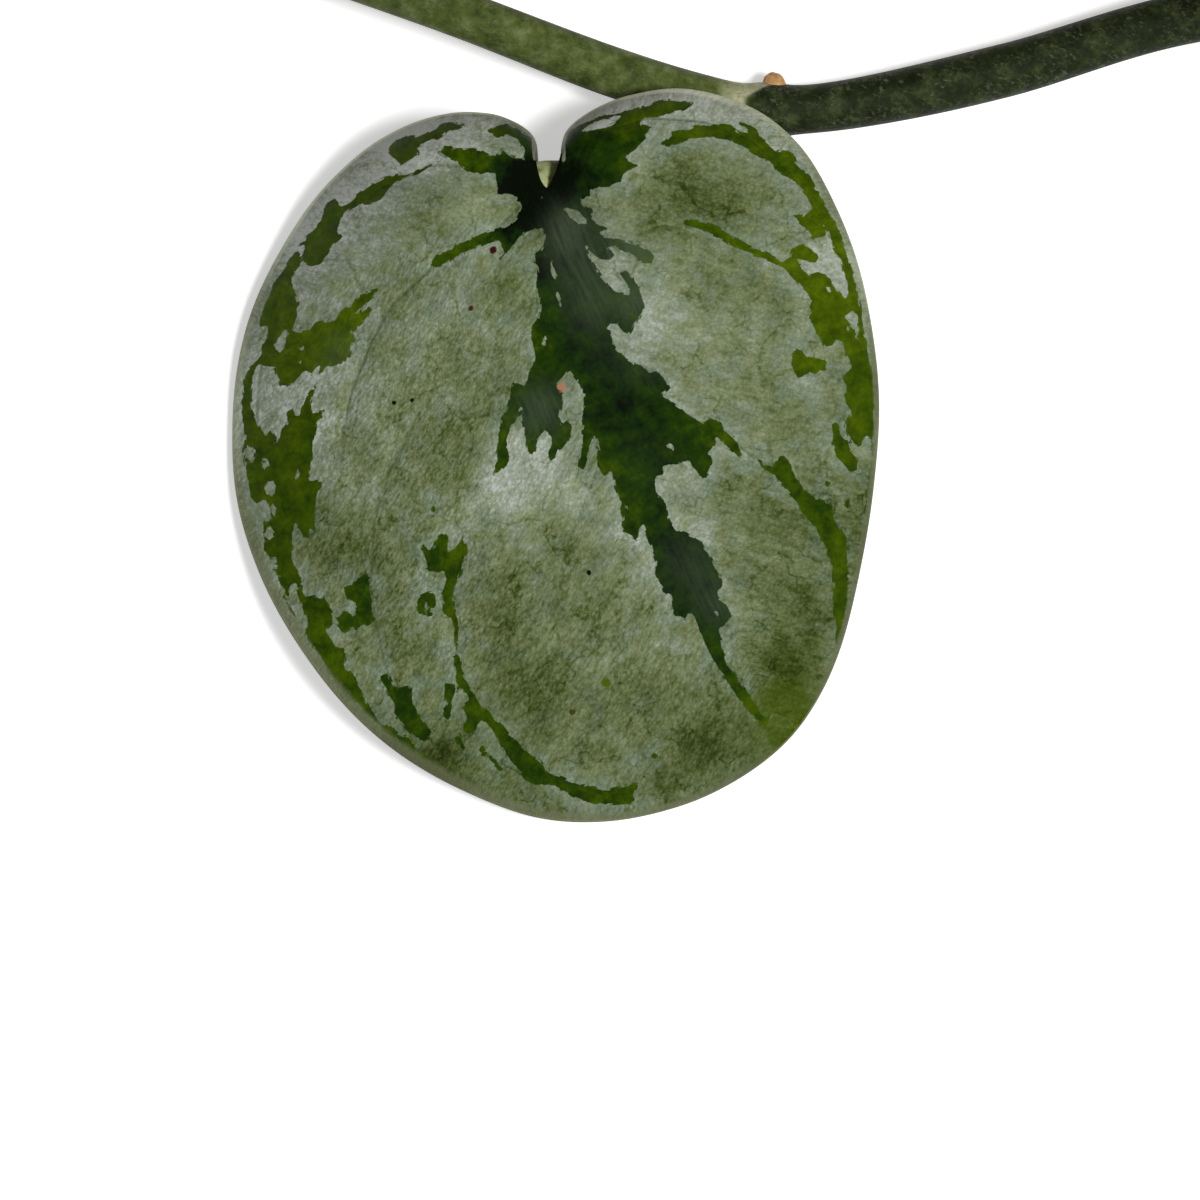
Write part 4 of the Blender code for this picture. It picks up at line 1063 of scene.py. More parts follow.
def green_colour(f, place):
    """Olive at the margin, nearly black by the stalk, partly as painted shade in the notch, with a grey
    sheen painted in streaks on the midrib as a reflection.
    """
    mottle = f.plus(f.about(f.noise(place, 1.3, 4), 0.42), f.about(f.noise(place, 0.4, 3), 0.2))
    green = f.ramp(f.plus(f.value("shade"), mottle), GREENS)
    fibres = f.noise(f.stretched(place, (3.0, 0.35, 1.0)), 0.9, 3)
    # A grey sheen painted on the midrib, as a reflection.
    painted_sheen_share = f.times(f.value("painted_sheen"), f.step(fibres, -0.1, 0.9))
    return f.mix(f.math("MINIMUM", painted_sheen_share, 0.8), green, PAINTED_SHEEN_GREY)


print("the silver goes from", WARM_SILVER[0][1], "to", WARM_SILVER[-1][1])

# %% Specks, and the margin
# Small scars and spots of the leaf in front: (right, down, radius in mm, colour).
SPECKS = [
    (-10.7, 31, 0.46, (160, 116, 90)), (-18.7, 60.7, 0.24, (6, 10, 2)), (-37.1, 22.3, 0.2, (12, 16, 8)),
    (-34.2, 23.1, 0.2, (14, 20, 10)), (-19.3, 13.2, 0.26, (70, 34, 22)), (-12.2, 6, 0.34, (52, 16, 14)),
    (-23.3, 78.6, 0.42, (74, 88, 8)), (-30.3, 80.8, 0.3, (60, 62, 22)), (-49.5, 87.1, 0.2, (56, 44, 34)),
    (-48.6, 87.9, 0.22, (44, 30, 22)), (-47.5, 88.8, 0.2, (48, 36, 28)),
]


def with_specks(f, place, face):
    """A small round spot with a ragged edge at each of SPECKS. The third coordinate is the leaf's own
    one, so no other leaf has them."""
    ragged = f.noise(place, 0.35)
    size = SHOWN_LEAF.length / MM / 100
    for right, down, radius, colour in SPECKS:
        spot = (right * size, down * size, PLACE_STEP * SHOWN_LEAF.seed)
        gap = f.add("VectorMath", {0: place, 1: spot}, "Value", operation="DISTANCE")
        gap = f.plus(gap, f.about(ragged, 0.5 * radius))
        face = f.mix(f.step(gap, radius, 0.6 * radius), face, colour)
    return face


def with_margin(f, place, face, wrinkles, fresh, yellow):
    """The rolled band is plain and paler, and its very edge is a thin pale line. Both are partly their
    own colour and partly a painted highlight: their light ends follow the silver's tone with its
    painted highlights, and at the top of the lobes a highlight is painted over the band. The attribute
    rim is the distance from the margin in widths of the band."""
    # The light ends of the band's and the line's ramps are partly a painted highlight.
    band = f.ramp(f.plus(f.value("tone"), f.about(wrinkles, 0.3)), [
        (0.1, (92, 97, 70)), (0.45, (113, 119, 91)), (0.9, (200, 208, 182))])
    band = f.mix(fresh, band, yellow)
    # A highlight painted on the band at the top of the lobes, where the lamp leaves the rolled margin in
    # shade.
    band = f.mix(f.value("painted_edge_light"), band, (240, 246, 222))
    line = f.ramp(f.value("tone"), [(0.1, (100, 104, 76)), (0.45, (146, 153, 120)), (0.9, (226, 232, 206))])
    inner_edge = f.step(f.uneven("rim", place, 0.7, 0.16), 0.55, 1.0)
    face = f.mix(f.falling(inner_edge, 0.8), face, band)
    return f.mix(f.falling(f.step(f.value("rim"), 0.05, 0.3), 0.7), face, line)


print("specks:", len(SPECKS))

# %% The leaf's finish, put together


def leaf_finish():
    """The face is silver where `bare` is 0 and green where it is 1, with the specks and the margin over
    both, and the underside is plain. `edging` is 1 in the green and 0 well away from it."""
    f = Finish("scindapsus_leaf", Specular_IOR_Level=0.012)
    place = f.add("Attribute", {}, "Vector", attribute_name="place")
    shaken = f.shaken(place, 2.0, 1.0, 0.3)
    folded = f.add("VectorMath", {0: place}, operation="ABSOLUTE")
    wrinkles = f.noise(f.stretched(folded, (1.0, 2.2, 1.0), -38), 0.42, 4, 0.68)
    slanted = f.stretched(shaken, (1.0, 1.5, 1.0), 30)
    pores = f.add("TexVoronoi", {"Vector": slanted, "Scale": 3.1}, "Distance")
    bare = bare_share(f, place, shaken)
    edging = f.step(f.uneven("marks", place, 1.5, 1.6, 3), -1.8, 0.4)
    off_vein = f.step(f.uneven("vein", place, 0.5, 0.10), 0.0, 0.18)
    fresh = f.step(f.uneven("fresh", place, 1.6, 0.25), 0.0, 1.3)

    tone = silver_tone(f, place, folded, wrinkles, pores, edging)
    yellow = f.ramp(tone, [(0.0, (34, 48, 2)), (0.45, (66, 82, 12)), (0.95, (106, 120, 52))])
    silver = f.mix(f.falling(off_vein, 0.5), silver_colour(f, place, tone, edging), (66, 78, 40))
    silver = f.mix(f.times(fresh, 0.9), silver, yellow)
    face = with_specks(f, place, f.mix(bare, silver, green_colour(f, place)))
    face = with_margin(f, place, face, wrinkles, fresh, yellow)
    below = f.ramp(f.noise(place, 2.2, 4), [(0.3, (104, 124, 74)), (0.7, (128, 146, 96))])
    below = f.mix(f.falling(off_vein, 0.35), below, (84, 104, 52))

    sheen = f.add("MapRange", {"Value": bare, "To Min": 0.46, "To Max": 0.36})
    relief = f.bump(f.plus(f.times(wrinkles, 0.8), f.times(pores, 0.2)), 0.16 * MM)
    f.set(f.skin, {
        "Base Color": f.mix(f.value("under"), face, below),
        "Roughness": f.plus(sheen, f.about(wrinkles, 0.10)),
        "Normal": f.bump(off_vein, 0.05 * MM, relief),
    })
    return f.material


LEAF_FINISH = leaf_finish()
print("leaf finish:", len(LEAF_FINISH.node_tree.nodes), "nodes")

# %% [markdown]
# ## Stems, buds and aerial roots
#
# The stem is a smooth tube that swells a little at every node. A node has a pale collar where the
# leaf's stalk wraps the stem, and an orange-brown root bud on the far side. Towards the pot the stem
# is old and nearly black-green, with a scurf of pale grains. Towards its tip it is olive. At the very
# tip a new leaf is still rolled up. A curve with a round bevel would be quicker to draw, but the
# finish reads an age and a collar at each point, and only a mesh holds those.

# %% The stem's finish


def stem_finish():
    """Olive where young and black-green where old, with pale grains and collars, and brown below."""
    f = Finish("scindapsus_stem", Roughness=0.5, Specular_IOR_Level=0.08)
    place = f.place()
    mottle = f.noise(place, 1.3 * MM, 6, 0.68)
    young = f.ramp(mottle, [(0.3, (48, 60, 16)), (0.5, (80, 93, 42)), (0.7, (114, 124, 78))])
    old = f.ramp(mottle, [(0.3, (14, 18, 3)), (0.5, (29, 38, 14)), (0.7, (60, 70, 38))])
    skin = f.mix(f.step(f.uneven("age", place, 4 * MM, 0.2), 0.0, 1.0), young, old)
    bumps = f.noise(f.stretched(place, (1, 1.6, 1), 20), 0.42 * MM, 3, 0.6)
    grains = f.times(f.step(bumps, 0.5, 0.68), f.step(f.noise(place, 1.6 * MM, 3), 0.34, 0.6))
    skin = f.mix(f.times(grains, 0.45), skin, (108, 114, 88))
    skin = f.mix(f.step(f.uneven("scar", place, 0.7 * MM, 0.2, 3), 0.12, 0.95), skin, (190, 190, 152))
    off_underside = f.step(f.uneven("up", place, 1.2 * MM, 0.2), -0.95, -0.45)
    skin = f.mix(off_underside, (52, 40, 16), skin)
    relief = f.bump(mottle, 0.25 * MM, f.bump(grains, 0.06 * MM))
    f.set(f.skin, {"Base Color": skin, "Normal": relief})
    return f.material


def stalk_finish():
    """Green, and paler towards the blade: partly its own paler green, and partly a painted highlight that
    also lifts the stalk where it lies in the notch's shade.
    """
    f = Finish("leaf_stalk", Roughness=0.45, Specular_IOR_Level=0.3)
    place = f.place()
    skin = f.ramp(f.noise(place, 1.4 * MM, 4), [
        (0.25, (60, 74, 20)), (0.5, (84, 98, 38)), (0.8, (112, 124, 66))])
    # Paler towards the blade: partly the stalk's own colour, partly a painted highlight.
    pale = f.step(f.uneven("near_blade", place, 0.8 * MM, 0.06), 0.45, 0.7)
    skin = f.mix(f.times(pale, 0.68), skin, (186, 194, 140))
    f.set(f.skin, {"Base Color": skin, "Normal": f.bump(f.noise(place, 0.5 * MM, 3), 0.1 * MM)})
    return f.material


STEM_FINISH, STALK_FINISH = stem_finish(), stalk_finish()
ROOT_FINISH = mottled("root_bud", 0.7, 0.2, (0.8 * MM, 4, 0.6), [
    (0.25, (160, 112, 66)), (0.5, (204, 162, 108)), (0.75, (228, 202, 162))], (0.3 * MM, 3), 0.15 * MM)
ROLLED_FINISH = mottled("rolled_leaf", 0.42, 0.3, (1.5 * MM, 4), [
    (0.3, (96, 122, 46)), (0.52, (122, 144, 74)), (0.7, (150, 164, 118))], (0.6 * MM, 3), 0.1 * MM)
print("stem finishes:", STEM_FINISH.name, STALK_FINISH.name, ROOT_FINISH.name, ROLLED_FINISH.name)

# %% The stem's surface
# How many times the solid's radius the round stem has, and the share that a node adds to that.
ROUND_SHARE = 1.04
NODE_SWELLING = 0.16


def old_share(vine, along):
    """1 at the pot to 0 at the tip. On the front stem the change is at the node laid out in front."""
    start, end = 0.25 * vine.route.length, vine.route.length
    if SHOWN_LEAF in vine.leaves:
        node = vine.nodes[vine.leaves.index(SHOWN_LEAF)]
        start, end = node + 1.0 * MM, node + 2.2 * MM
    return 1 - smoothstep(along, start, end)


def stem_surface(vine, apart, sides, seed):
    """A tube of ROUND_SHARE * radius_at, wider by NODE_SWELLING * exp(-(d / 1.7 mm)^2) at d from a
    node, with slow ripples of 2.5%, three faint flutes and a narrow end. scar is the collar, which
    starts further back on the root bud's side."""
    length = vine.route.length
    stations = np.linspace(0, length, round(length / apart) + 1)
    off = stations[:, None] - np.array(vine.nodes)
    nearest = np.abs(off).argmin(axis=1)
    swelling = NODE_SWELLING * np.exp(-((off[np.arange(len(off)), nearest] / (1.7 * MM)) ** 2))
    radius = ROUND_SHARE * vine.radius_at(stations) * (1 + swelling)
    radius *= 1 + 0.025 * ripples(stations[:, None], 30 * MM, seed)
    radius *= np.interp(length - stations, [0, 1.5 * MM], [0.55, 1])
    turn = np.linspace(0, 2 * np.pi, sides, endpoint=False)
    flutes = 1 + 0.018 * np.cos(3 * turn[None] + 0.02 * stations[:, None] / MM)
    points, faces, out = tube(vine.route.at(stations), radius[:, None] * flutes, sides)
    along = np.concatenate([np.repeat(stations, sides), [0, length]])
    which = np.concatenate([np.repeat(nearest, sides), [0, 0]])
    past = along - np.array(vine.nodes)[which]
    facing = (out * np.array([leaf.leave for leaf in vine.leaves])[which]).sum(axis=1)
    behind = 1.7 * MM * smoothstep(-facing, 0.4, 0.9)
    collar = smoothstep(past + behind, 1.35 * MM, 1.6 * MM) * (1 - smoothstep(past, 2.0 * MM, 5.6 * MM))
    values = {"age": old_share(vine, along), "scar": collar * (0.8 + 0.2 * facing), "up": out[:, 2]}
    return points, faces, values


print("a node's radius is larger by", round(NODE_SWELLING * STEM_RADIUS / MM, 2), "mm")

# %% Root buds and the rolled leaf


def drooping(root, way, length, droop, steps=9):
    """A short curve from a root point along `way`, bending down by droop * share^2 * length."""
    share = np.linspace(0, 1, steps)[:, None]
    return root + length * (share * way - droop * share**2 * np.array([0, 0, 1.0]))


def root_bud(vine, node, leaf, draw):
    """A stub with a round end, on the far side of the stem from the leaf, kept above the floor."""
    ahead = vine.route.heading(node)
    away = unit(-leaf.leave + draw.normal(0, 0.25, 3))
    away = unit(away - ahead * np.dot(away, ahead) + 0.25 * ahead)
    long = draw.uniform(1.6, 2.4) * MM
    root = vine.route.at(node - 1.0 * MM) + away * vine.radius_at(node) * 0.5
    curve = drooping(root, away, long, 0.15)
    curve[:, 2] = np.maximum(curve[:, 2], 1.1 * MM)
    width = 0.95 * MM * np.sqrt(np.clip(1 - np.linspace(0, 0.99, len(curve)) ** 4, 0.03, 1))
    return tube(curve, width, 12)[:2]


def rolled_leaf(vine):
    """A spear whose radius grows by 14% round its turn, so that one edge laps over the other."""
    tip, ahead = vine.route.at(vine.route.length), vine.route.heading(vine.route.length)
    spear = drooping(tip - 1 * MM * ahead, ahead, 15 * MM, 0.1, 24)
    share = np.linspace(0, 1, len(spear))
    width = 1.55 * MM * np.sqrt(np.clip(1 - share**3, 0, 1)) * (0.62 + 0.38 * np.sin(np.pi * share**0.7))
    roll = np.linspace(0, 2 * np.pi, 20, endpoint=False)
    lap = 1 + 0.14 * ((roll[None] + 2.4 * share[:, None]) % (2 * np.pi)) / (2 * np.pi)
    return tube(spear, np.maximum(width, 0.12 * MM)[:, None] * lap, 20)[:2]


print("the points of a rolled leaf:", len(rolled_leaf(VINES["vine_left"])[0]))

# %% The stems
for seed, (name, vine) in enumerate(VINES.items(), 500):
    apart, sides = (0.7 * MM, 28) if SHOWN_LEAF in vine.leaves else (1.2 * MM, 18)
    draw = np.random.default_rng(seed)
    parts = Parts()
    points, faces, values = stem_surface(vine, apart, sides, seed)
    parts.add(points, faces, 0, **values)
    for node, leaf in zip(vine.nodes, vine.leaves):
        parts.add(*root_bud(vine, node, leaf, draw), 1)
    parts.add(*rolled_leaf(vine), 2)
    finishes = [STEM_FINISH, ROOT_FINISH, ROLLED_FINISH]
    piece = parts.piece("trailing_" + name, finishes, "vine_stem", [name])
    print(name, len(piece.data.polygons), "faces")

# %% [markdown]
# ## Pot and soil
#
# A plain nursery pot, thin-walled and moulded in terracotta-coloured plastic. It is one profile turned
# about the middle: the wall, the step up to a thicker collar, the rolled rim, and the inside again.
# Its drainage holes are cut by a Boolean modifier, because a hole through a turned wall has no place
# on the grid. The moulding's fine rings, scuffs and dust are left to the material.

# %% Rounded and divided lines


def rounded(corners, steps=5):
    """A polyline of (x, y, rounding radius) corners with each corner turned into a quadratic curve
    that starts and ends one radius away from it."""
    corners = np.asarray(corners, float)
    places, radii = corners[:, :2], corners[:, 2]
    line = [places[0]]
    share = np.linspace(0, 1, steps + 1)[:, None]
    for k in range(1, len(places) - 1):
        here = places[k]
        start = here + radii[k] * unit(places[k - 1] - here)
        end = here + radii[k] * unit(places[k + 1] - here)
        line.extend((1 - share) ** 2 * start + 2 * share * (1 - share) * here + share**2 * end)
    line.append(places[-1])
    return np.array(line)


def divided(line, apart):
    """The same polyline with extra points, so that none is further than `apart` from the next."""
    out = [line[:1]]
    for a, b in zip(line[:-1], line[1:]):
        count = max(1, math.ceil(np.linalg.norm(b - a) / apart))
        out.append(a + (b - a) * np.linspace(0, 1, count + 1)[1:, None])
    return np.vstack(out)


bent = rounded([(0, 0, 0), (1, 0, 0.1), (1, 1, 0)])
print("a bent line has", len(bent), "points, and", len(divided(bent, 0.1)), "once divided")

# %% The pot's profile
POT_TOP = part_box("pot")[1]
POT_HEIGHT = POT_TOP.z
POT_RIM_RADIUS = POT_TOP.x
POT_FOOT_RADIUS = 42 * MM
POT_SHOULDER_RADIUS = 54 * MM
POT_COLLAR_HEIGHT = 18 * MM
POT_WALL = 2 * MM
POT_COLUMNS = 160


def turned(line, columns):
    """A closed surface: a line of (radius, height) points turned about +Z, from a pole at its start to
    a pole at its end."""
    angle = np.linspace(0, 2 * np.pi, columns, endpoint=False)
    radius = np.repeat(line[1:-1, :1], columns, axis=1)
    height = np.repeat(line[1:-1, 1:], columns, axis=1)
    points = np.stack([radius * np.cos(angle), radius * np.sin(angle), height], axis=-1).reshape(-1, 3)
    poles = [(0, 0, line[0, 1]), (0, 0, line[-1, 1])]
    return np.vstack([points, poles]), closed_faces(len(line) - 2, columns)


def pot_profile():
    """From the middle of the underside, out and up the wall, over the rim, and down to the inner
    floor, as (radius, height, rounding radius)."""
    foot, shoulder, rim = POT_FOOT_RADIUS, POT_SHOULDER_RADIUS, POT_RIM_RADIUS
    collar = POT_HEIGHT - POT_COLLAR_HEIGHT
    inner_foot = foot + (shoulder - foot) * POT_WALL / collar - POT_WALL
    return divided(rounded(np.array([
        (0, 0, 0), (foot, 0, 1.4 * MM), (shoulder, collar, 1.2 * MM),
        (rim - 2 * MM, collar + 0.5 * MM, 1 * MM),
        (rim - 0.4 * MM, POT_HEIGHT - 4 * MM, 0.8 * MM), (rim, POT_HEIGHT - 3.4 * MM, 0.3 * MM),
        (rim, POT_HEIGHT, 1.1 * MM), (rim - POT_WALL - 0.8 * MM, POT_HEIGHT, 0.9 * MM),
        (shoulder - POT_WALL + 1.5 * MM, collar + 3 * MM, 1 * MM), (shoulder - POT_WALL, collar, 1 * MM),
        (inner_foot, POT_WALL, 1.5 * MM), (0, POT_WALL, 0),
    ])), 3 * MM)


print("pot profile:", len(pot_profile()), "points")

# %% The pot's finish


def pot_finish():
    """Terracotta clouds with dark specks, dust up to about 30 mm high, pale scuffs, and fine rings."""
    f = Finish("moulded_terracotta_plastic", Specular_IOR_Level=0.45)
    place = f.place()
    cloud = f.noise(place, 24 * MM, 4)
    base = f.ramp(cloud, [(0.3, (150, 84, 58)), (0.5, (164, 94, 66)), (0.72, (176, 106, 78))])
    speck = f.step(f.cells(place, 0.9 * MM), 0.93, 0.96)
    base = f.mix(f.times(speck, 0.35), base, (120, 62, 42))
    high = f.add("SeparateXYZ", {"Vector": place}, "Z")
    splash = f.plus(high, f.about(f.noise(place, 9 * MM, 5, 0.6), 22 * MM))
    dusty = f.step(splash, 30 * MM, 4 * MM)
    base = f.mix(f.times(dusty, 0.35), base, (128, 104, 84))
    scuffs = f.step(f.noise(f.stretched(place, (1, 1, 5)), 5 * MM, 6, 0.7), 0.62, 0.72)
    base = f.mix(f.times(scuffs, 0.3), base, (196, 138, 112))
    rings = f.noise(f.stretched(place, (0.02, 0.02, 1)), 0.8 * MM, 3)
    f.set(f.skin, {
        "Base Color": base,
        "Roughness": f.plus(0.42, f.about(f.noise(place, 6 * MM, 4), 0.14)),
        "Normal": f.bump(f.plus(f.times(rings, 0.6), f.noise(place, 0.35 * MM)), 0.05 * MM),
    })
    return f.material


POT_FINISH = pot_finish()
print("pot finish:", len(POT_FINISH.node_tree.nodes), "nodes")

# %% The pot, with its drainage holes
DRAIN_HOLES = 6
DRAIN_RADIUS = 5 * MM
DRAIN_CIRCLE_RADIUS = 27 * MM
DRAIN_HEIGHTS = np.array([-5, 0, 5, 8]) * MM


def drain_cutter(angle):
    """A round bar through the floor of the pot."""
    way = np.array([math.cos(angle), math.sin(angle), 0])
    stack = DRAIN_CIRCLE_RADIUS * way + DRAIN_HEIGHTS[:, None] * np.array([0, 0, 1])
    points, faces, _ = tube(stack, np.full(len(stack), DRAIN_RADIUS), 28)
    mesh = bpy.data.meshes.new("drain_cutter")
    mesh.from_pydata(points.tolist(), [], [face for group in faces for face in group.tolist()])
    cutter = bpy.data.objects.new("drain_cutter", mesh)
    bpy.context.scene.collection.objects.link(cutter)
    return cutter


def make_pot():
    """The turned profile less the round bars, with the cut made part of its mesh."""
    points, faces = turned(pot_profile(), POT_COLUMNS)
    pot = new_piece("moulded_pot", points, faces, [POT_FINISH], "pot_plastic", ["pot"])
    cutters = [drain_cutter(2 * math.pi * (k + 0.5) / DRAIN_HOLES) for k in range(DRAIN_HOLES)]
    for cutter in cutters:
        cut = pot.modifiers.new("drain", "BOOLEAN")
        cut.solver = "EXACT"
        cut.object = cutter
    shape = bpy.data.meshes.new_from_object(pot.evaluated_get(bpy.context.evaluated_depsgraph_get()))
    pot.modifiers.clear()
    pot.data = shape
    for cutter in cutters:
        bpy.data.objects.remove(cutter)
    return pot


pot = make_pot()
print("pot:", len(pot.data.polygons), "faces")

# %% [markdown]
# ## Potting mix
#
# The mix is dark and crumbly: a mounded surface of lumps, and on it loose crumbs, chips of bark and
# white grains of perlite. A particle system could strew them, as so many objects. Here they are one
# small ball, pushed about, stretched and turned by seeded numbers for all of them at once, and they
# stay in one mesh with the mound.

# %% The mix's finishes


def soil_finish():
    """Dark brown clouds, with paler fibres."""
    f = Finish("potting_mix", Roughness=0.95, Specular_IOR_Level=0.15)
    place = f.place()
    base = f.ramp(f.noise(place, 2.4 * MM, 6, 0.65), [
        (0.3, (30, 22, 16)), (0.5, (52, 39, 29)), (0.7, (84, 66, 50))])
    fibres = f.step(f.noise(f.stretched(place, (1, 6, 1), 30), 2.5 * MM, 4), 0.62, 0.68)
    base = f.mix(f.times(fibres, 0.6), base, (120, 92, 62))
    f.set(f.skin, {"Base Color": base, "Normal": f.bump(f.noise(place, 0.7 * MM, 5, 0.7), 0.5 * MM)})
    return f.material


SOIL_FINISH = soil_finish()
BARK_FINISH = mottled("bark_chip", 0.85, 0.2, (1.6 * MM, 5), [
    (0.3, (58, 38, 24)), (0.5, (98, 66, 42)), (0.75, (146, 106, 70))], (0.5 * MM, 4), 0.3 * MM,
    stretch=((1, 5, 1), 20))
PERLITE_FINISH = mottled("perlite_grain", 0.9, 0.2, (0.8 * MM, 4), [
    (0.3, (186, 180, 168)), (0.6, (228, 224, 216))], (0.3 * MM, 3), 0.2 * MM)
print("mix finishes:", SOIL_FINISH.name, BARK_FINISH.name, PERLITE_FINISH.name)

# %% The mound
SOIL_TOP = 91 * MM
SOIL_CROWN = 2.5 * MM
SOIL_EDGE = POT_SHOULDER_RADIUS - POT_WALL - 0.45 * MM
SOIL_FOOT = POT_FOOT_RADIUS - POT_WALL - 1.2 * MM
SOIL_COLUMNS = 220
SOIL_RINGS = 74


def soil_height(x, y):
    """The mound SOIL_TOP + SOIL_CROWN * (1 - (r / 40 mm)^2), with lumps of 9, 4 and 1.8 mm on it."""
    at = np.stack([x, y], axis=-1)
    uneven = 0.9 * ripples(at, 9 * MM, 7) + 0.55 * ripples(at, 4 * MM, 8) + 0.35 * ripples(at, 1.8 * MM, 9)
    mound = SOIL_CROWN * np.clip(1 - (x**2 + y**2) / (40 * MM) ** 2, -0.6, 1)
    return SOIL_TOP + mound + uneven * 0.75 * MM


def mound_surface():
    """Up the inside of the pot's wall, and over the top, which then takes its height from the mound."""
    low = POT_WALL + FIT_GAP
    line = divided(np.array([(0, low), (SOIL_FOOT, low), (SOIL_EDGE, 84 * MM),
                             (SOIL_EDGE, SOIL_TOP - 2 * MM)]), 8 * MM)
    top = np.linspace(SOIL_EDGE - 0.2 * MM, 0, SOIL_RINGS)
    line = np.vstack([line, np.column_stack([top, np.full(len(top), SOIL_TOP)])])
    points, faces = turned(line, SOIL_COLUMNS)
    inside = np.hypot(points[:, 0], points[:, 1]) < SOIL_EDGE - 0.1 * MM
    upper = (points[:, 2] > SOIL_TOP - 1 * MM) & inside
    points[upper, 2] = soil_height(points[upper, 0], points[upper, 1])
    return points, faces


print("the middle of the mound is at", round(float(soil_height(0.0, 0.0)) / MM, 1), "mm")

# %% Loose bits
LUMP_RINGS = 4
LUMP_SIDES = 7
SCATTER_REACH = 48 * MM


def lumps(centres, sizes, seed):
    """Many small closed lumps at once: a sphere of LUMP_RINGS x LUMP_SIDES points pushed in and out by
    20% or so, stretched, and turned by a seeded rotation. Returns one mesh's points and faces."""
    draw = np.random.default_rng(seed)
    count = len(centres)
    tall = np.pi * np.arange(1, LUMP_RINGS + 1)[:, None] / (LUMP_RINGS + 1)
    turn = 2 * np.pi * np.arange(LUMP_SIDES) / LUMP_SIDES
    across, up = np.sin(tall), np.cos(tall) * np.ones(LUMP_SIDES)
    rings = np.stack([across * np.cos(turn), across * np.sin(turn), up], axis=-1).reshape(-1, 3)
    ball = np.vstack([rings, [(0, 0, 1), (0, 0, -1)]])
    shape = ball[None] * draw.uniform(0.75, 1.2, (count, len(ball), 1)) * sizes[:, None]
    axes, _ = np.linalg.qr(draw.normal(size=(count, 3, 3)))
    axes *= np.sign(np.linalg.det(axes))[:, None, None]
    points = np.einsum("nij,nkj->nki", axes, shape) + centres[:, None]
    shift = (np.arange(count) * len(ball))[:, None, None]
    # The rings go down from the top here, so the faces are turned over to point outwards.
    one = [group[:, ::-1] for group in closed_faces(LUMP_RINGS, LUMP_SIDES)]
    return points.reshape(-1, 3), [(group[None] + shift).reshape(-1, group.shape[1]) for group in one]


def scattered(count, seed, lift):
    """Seeded places spread evenly over a disc, lifted from the soil's surface."""
    draw = np.random.default_rng(seed)
    radius = SCATTER_REACH * np.sqrt(draw.uniform(0, 1, count))
    angle = draw.uniform(0, 2 * np.pi, count)
    x, y = radius * np.cos(angle), radius * np.sin(angle)
    return np.column_stack([x, y, soil_height(x, y) + lift])


print("a lump has", sum(map(len, closed_faces(LUMP_RINGS, LUMP_SIDES))), "faces")

# %% The potting mix
# The loose bits: (how many, smallest and largest in mm, material, lift in mm, how tall for its width).
CRUMBS = (620, 0.45, 1.5, 0, 0.0, 0.8)
CHIPS = (120, 1.2, 3.4, 1, 0.35, 0.5)
GRAINS = (90, 0.5, 1.2, 2, 0.2, 0.9)
parts = Parts()
parts.add(*mound_surface(), 0)
draw = np.random.default_rng(31)
for k, (count, small, large, material, lift, tall) in enumerate((CRUMBS, CHIPS, GRAINS)):
    size = draw.uniform(small, large, (count, 1))
    size = size * draw.uniform([0.7, 0.5, tall * 0.5], [1.1, 0.9, tall], (count, 3))
    parts.add(*lumps(scattered(count, 60 + k, lift * MM), size * MM, 80 + k), material)
finishes = [SOIL_FINISH, BARK_FINISH, PERLITE_FINISH]
soil = parts.piece("potting_mix_top", finishes, "potting_soil", ["soil"])
print("soil:", len(soil.data.polygons), "faces")

# %% [markdown]
# ## Building a leaf
#
# The profile of a blade runs out over the top, round the rolled rim and back underneath. Each of its
# rows is a share of the way to the margin and a share of the blade's thickness. Carried round the
# margin it makes a shell, and two thin walls close it at the notch. A flat sheet with a Solidify
# modifier would be thick too, but its rim would be square. The stalk is a tube from the stem's skin
# to the notch that runs on below the blade as its rib.

# %% The blade's shell
# The rows round the rolled rim, as (ring, depth share), and the ring where top and underside end.
RIM_ROWS = [(0.9975, 0.12), (1.0, 0.5), (0.9975, 0.88)]
INNER_RIM = 0.992


def blade_profile(top_rows, skip):
    """(ring, depth share) rows: the pole, top_rows over the top, the rim, every skip-th row back
    below, and the pole below."""
    top = np.arange(1, top_rows + 1) / top_rows * INNER_RIM
    return np.array([(0, 0)] + [(r, 0) for r in top] + RIM_ROWS + [(r, 1) for r in top[::-skip]] + [(0, 1)])


def blade_faces(top_rows, skip, columns):
    """The shell's faces: two fans at the poles, the grid between, and the notch's two walls."""
    rows = top_rows + len(RIM_ROWS) + top_rows // skip
    column = np.arange(columns - 1)
    last = 1 + (rows - 1) * columns
    pole = last + columns
    faces = [
        np.stack([np.zeros_like(column), 1 + column, 2 + column], axis=1),
        grid_faces(rows, columns, first=1),
        np.stack([np.full_like(column, pole), last + column + 1, last + column], axis=1),
    ]
    for edge in (0, columns - 1):
        top = np.concatenate([[0], 1 + np.arange(top_rows) * columns + edge])
        rim = 1 + np.arange(top_rows - 1, top_rows + len(RIM_ROWS) + 1) * columns + edge
        below = np.concatenate([[pole], last + edge - np.arange(top_rows // skip) * columns])
        walls = [top[k * skip : (k + 1) * skip + 1].tolist() + [below[k + 1], below[k]]
                 for k in range(top_rows // skip)]
        turn = 1 if edge else -1
        faces += [np.array([w[::turn] for w in walls]), rim[None, ::-turn][:, ::-1]]
    return faces


print("a shell of 6 rows by 5 columns has", sum(map(len, blade_faces(6, 2, 5))), "faces")

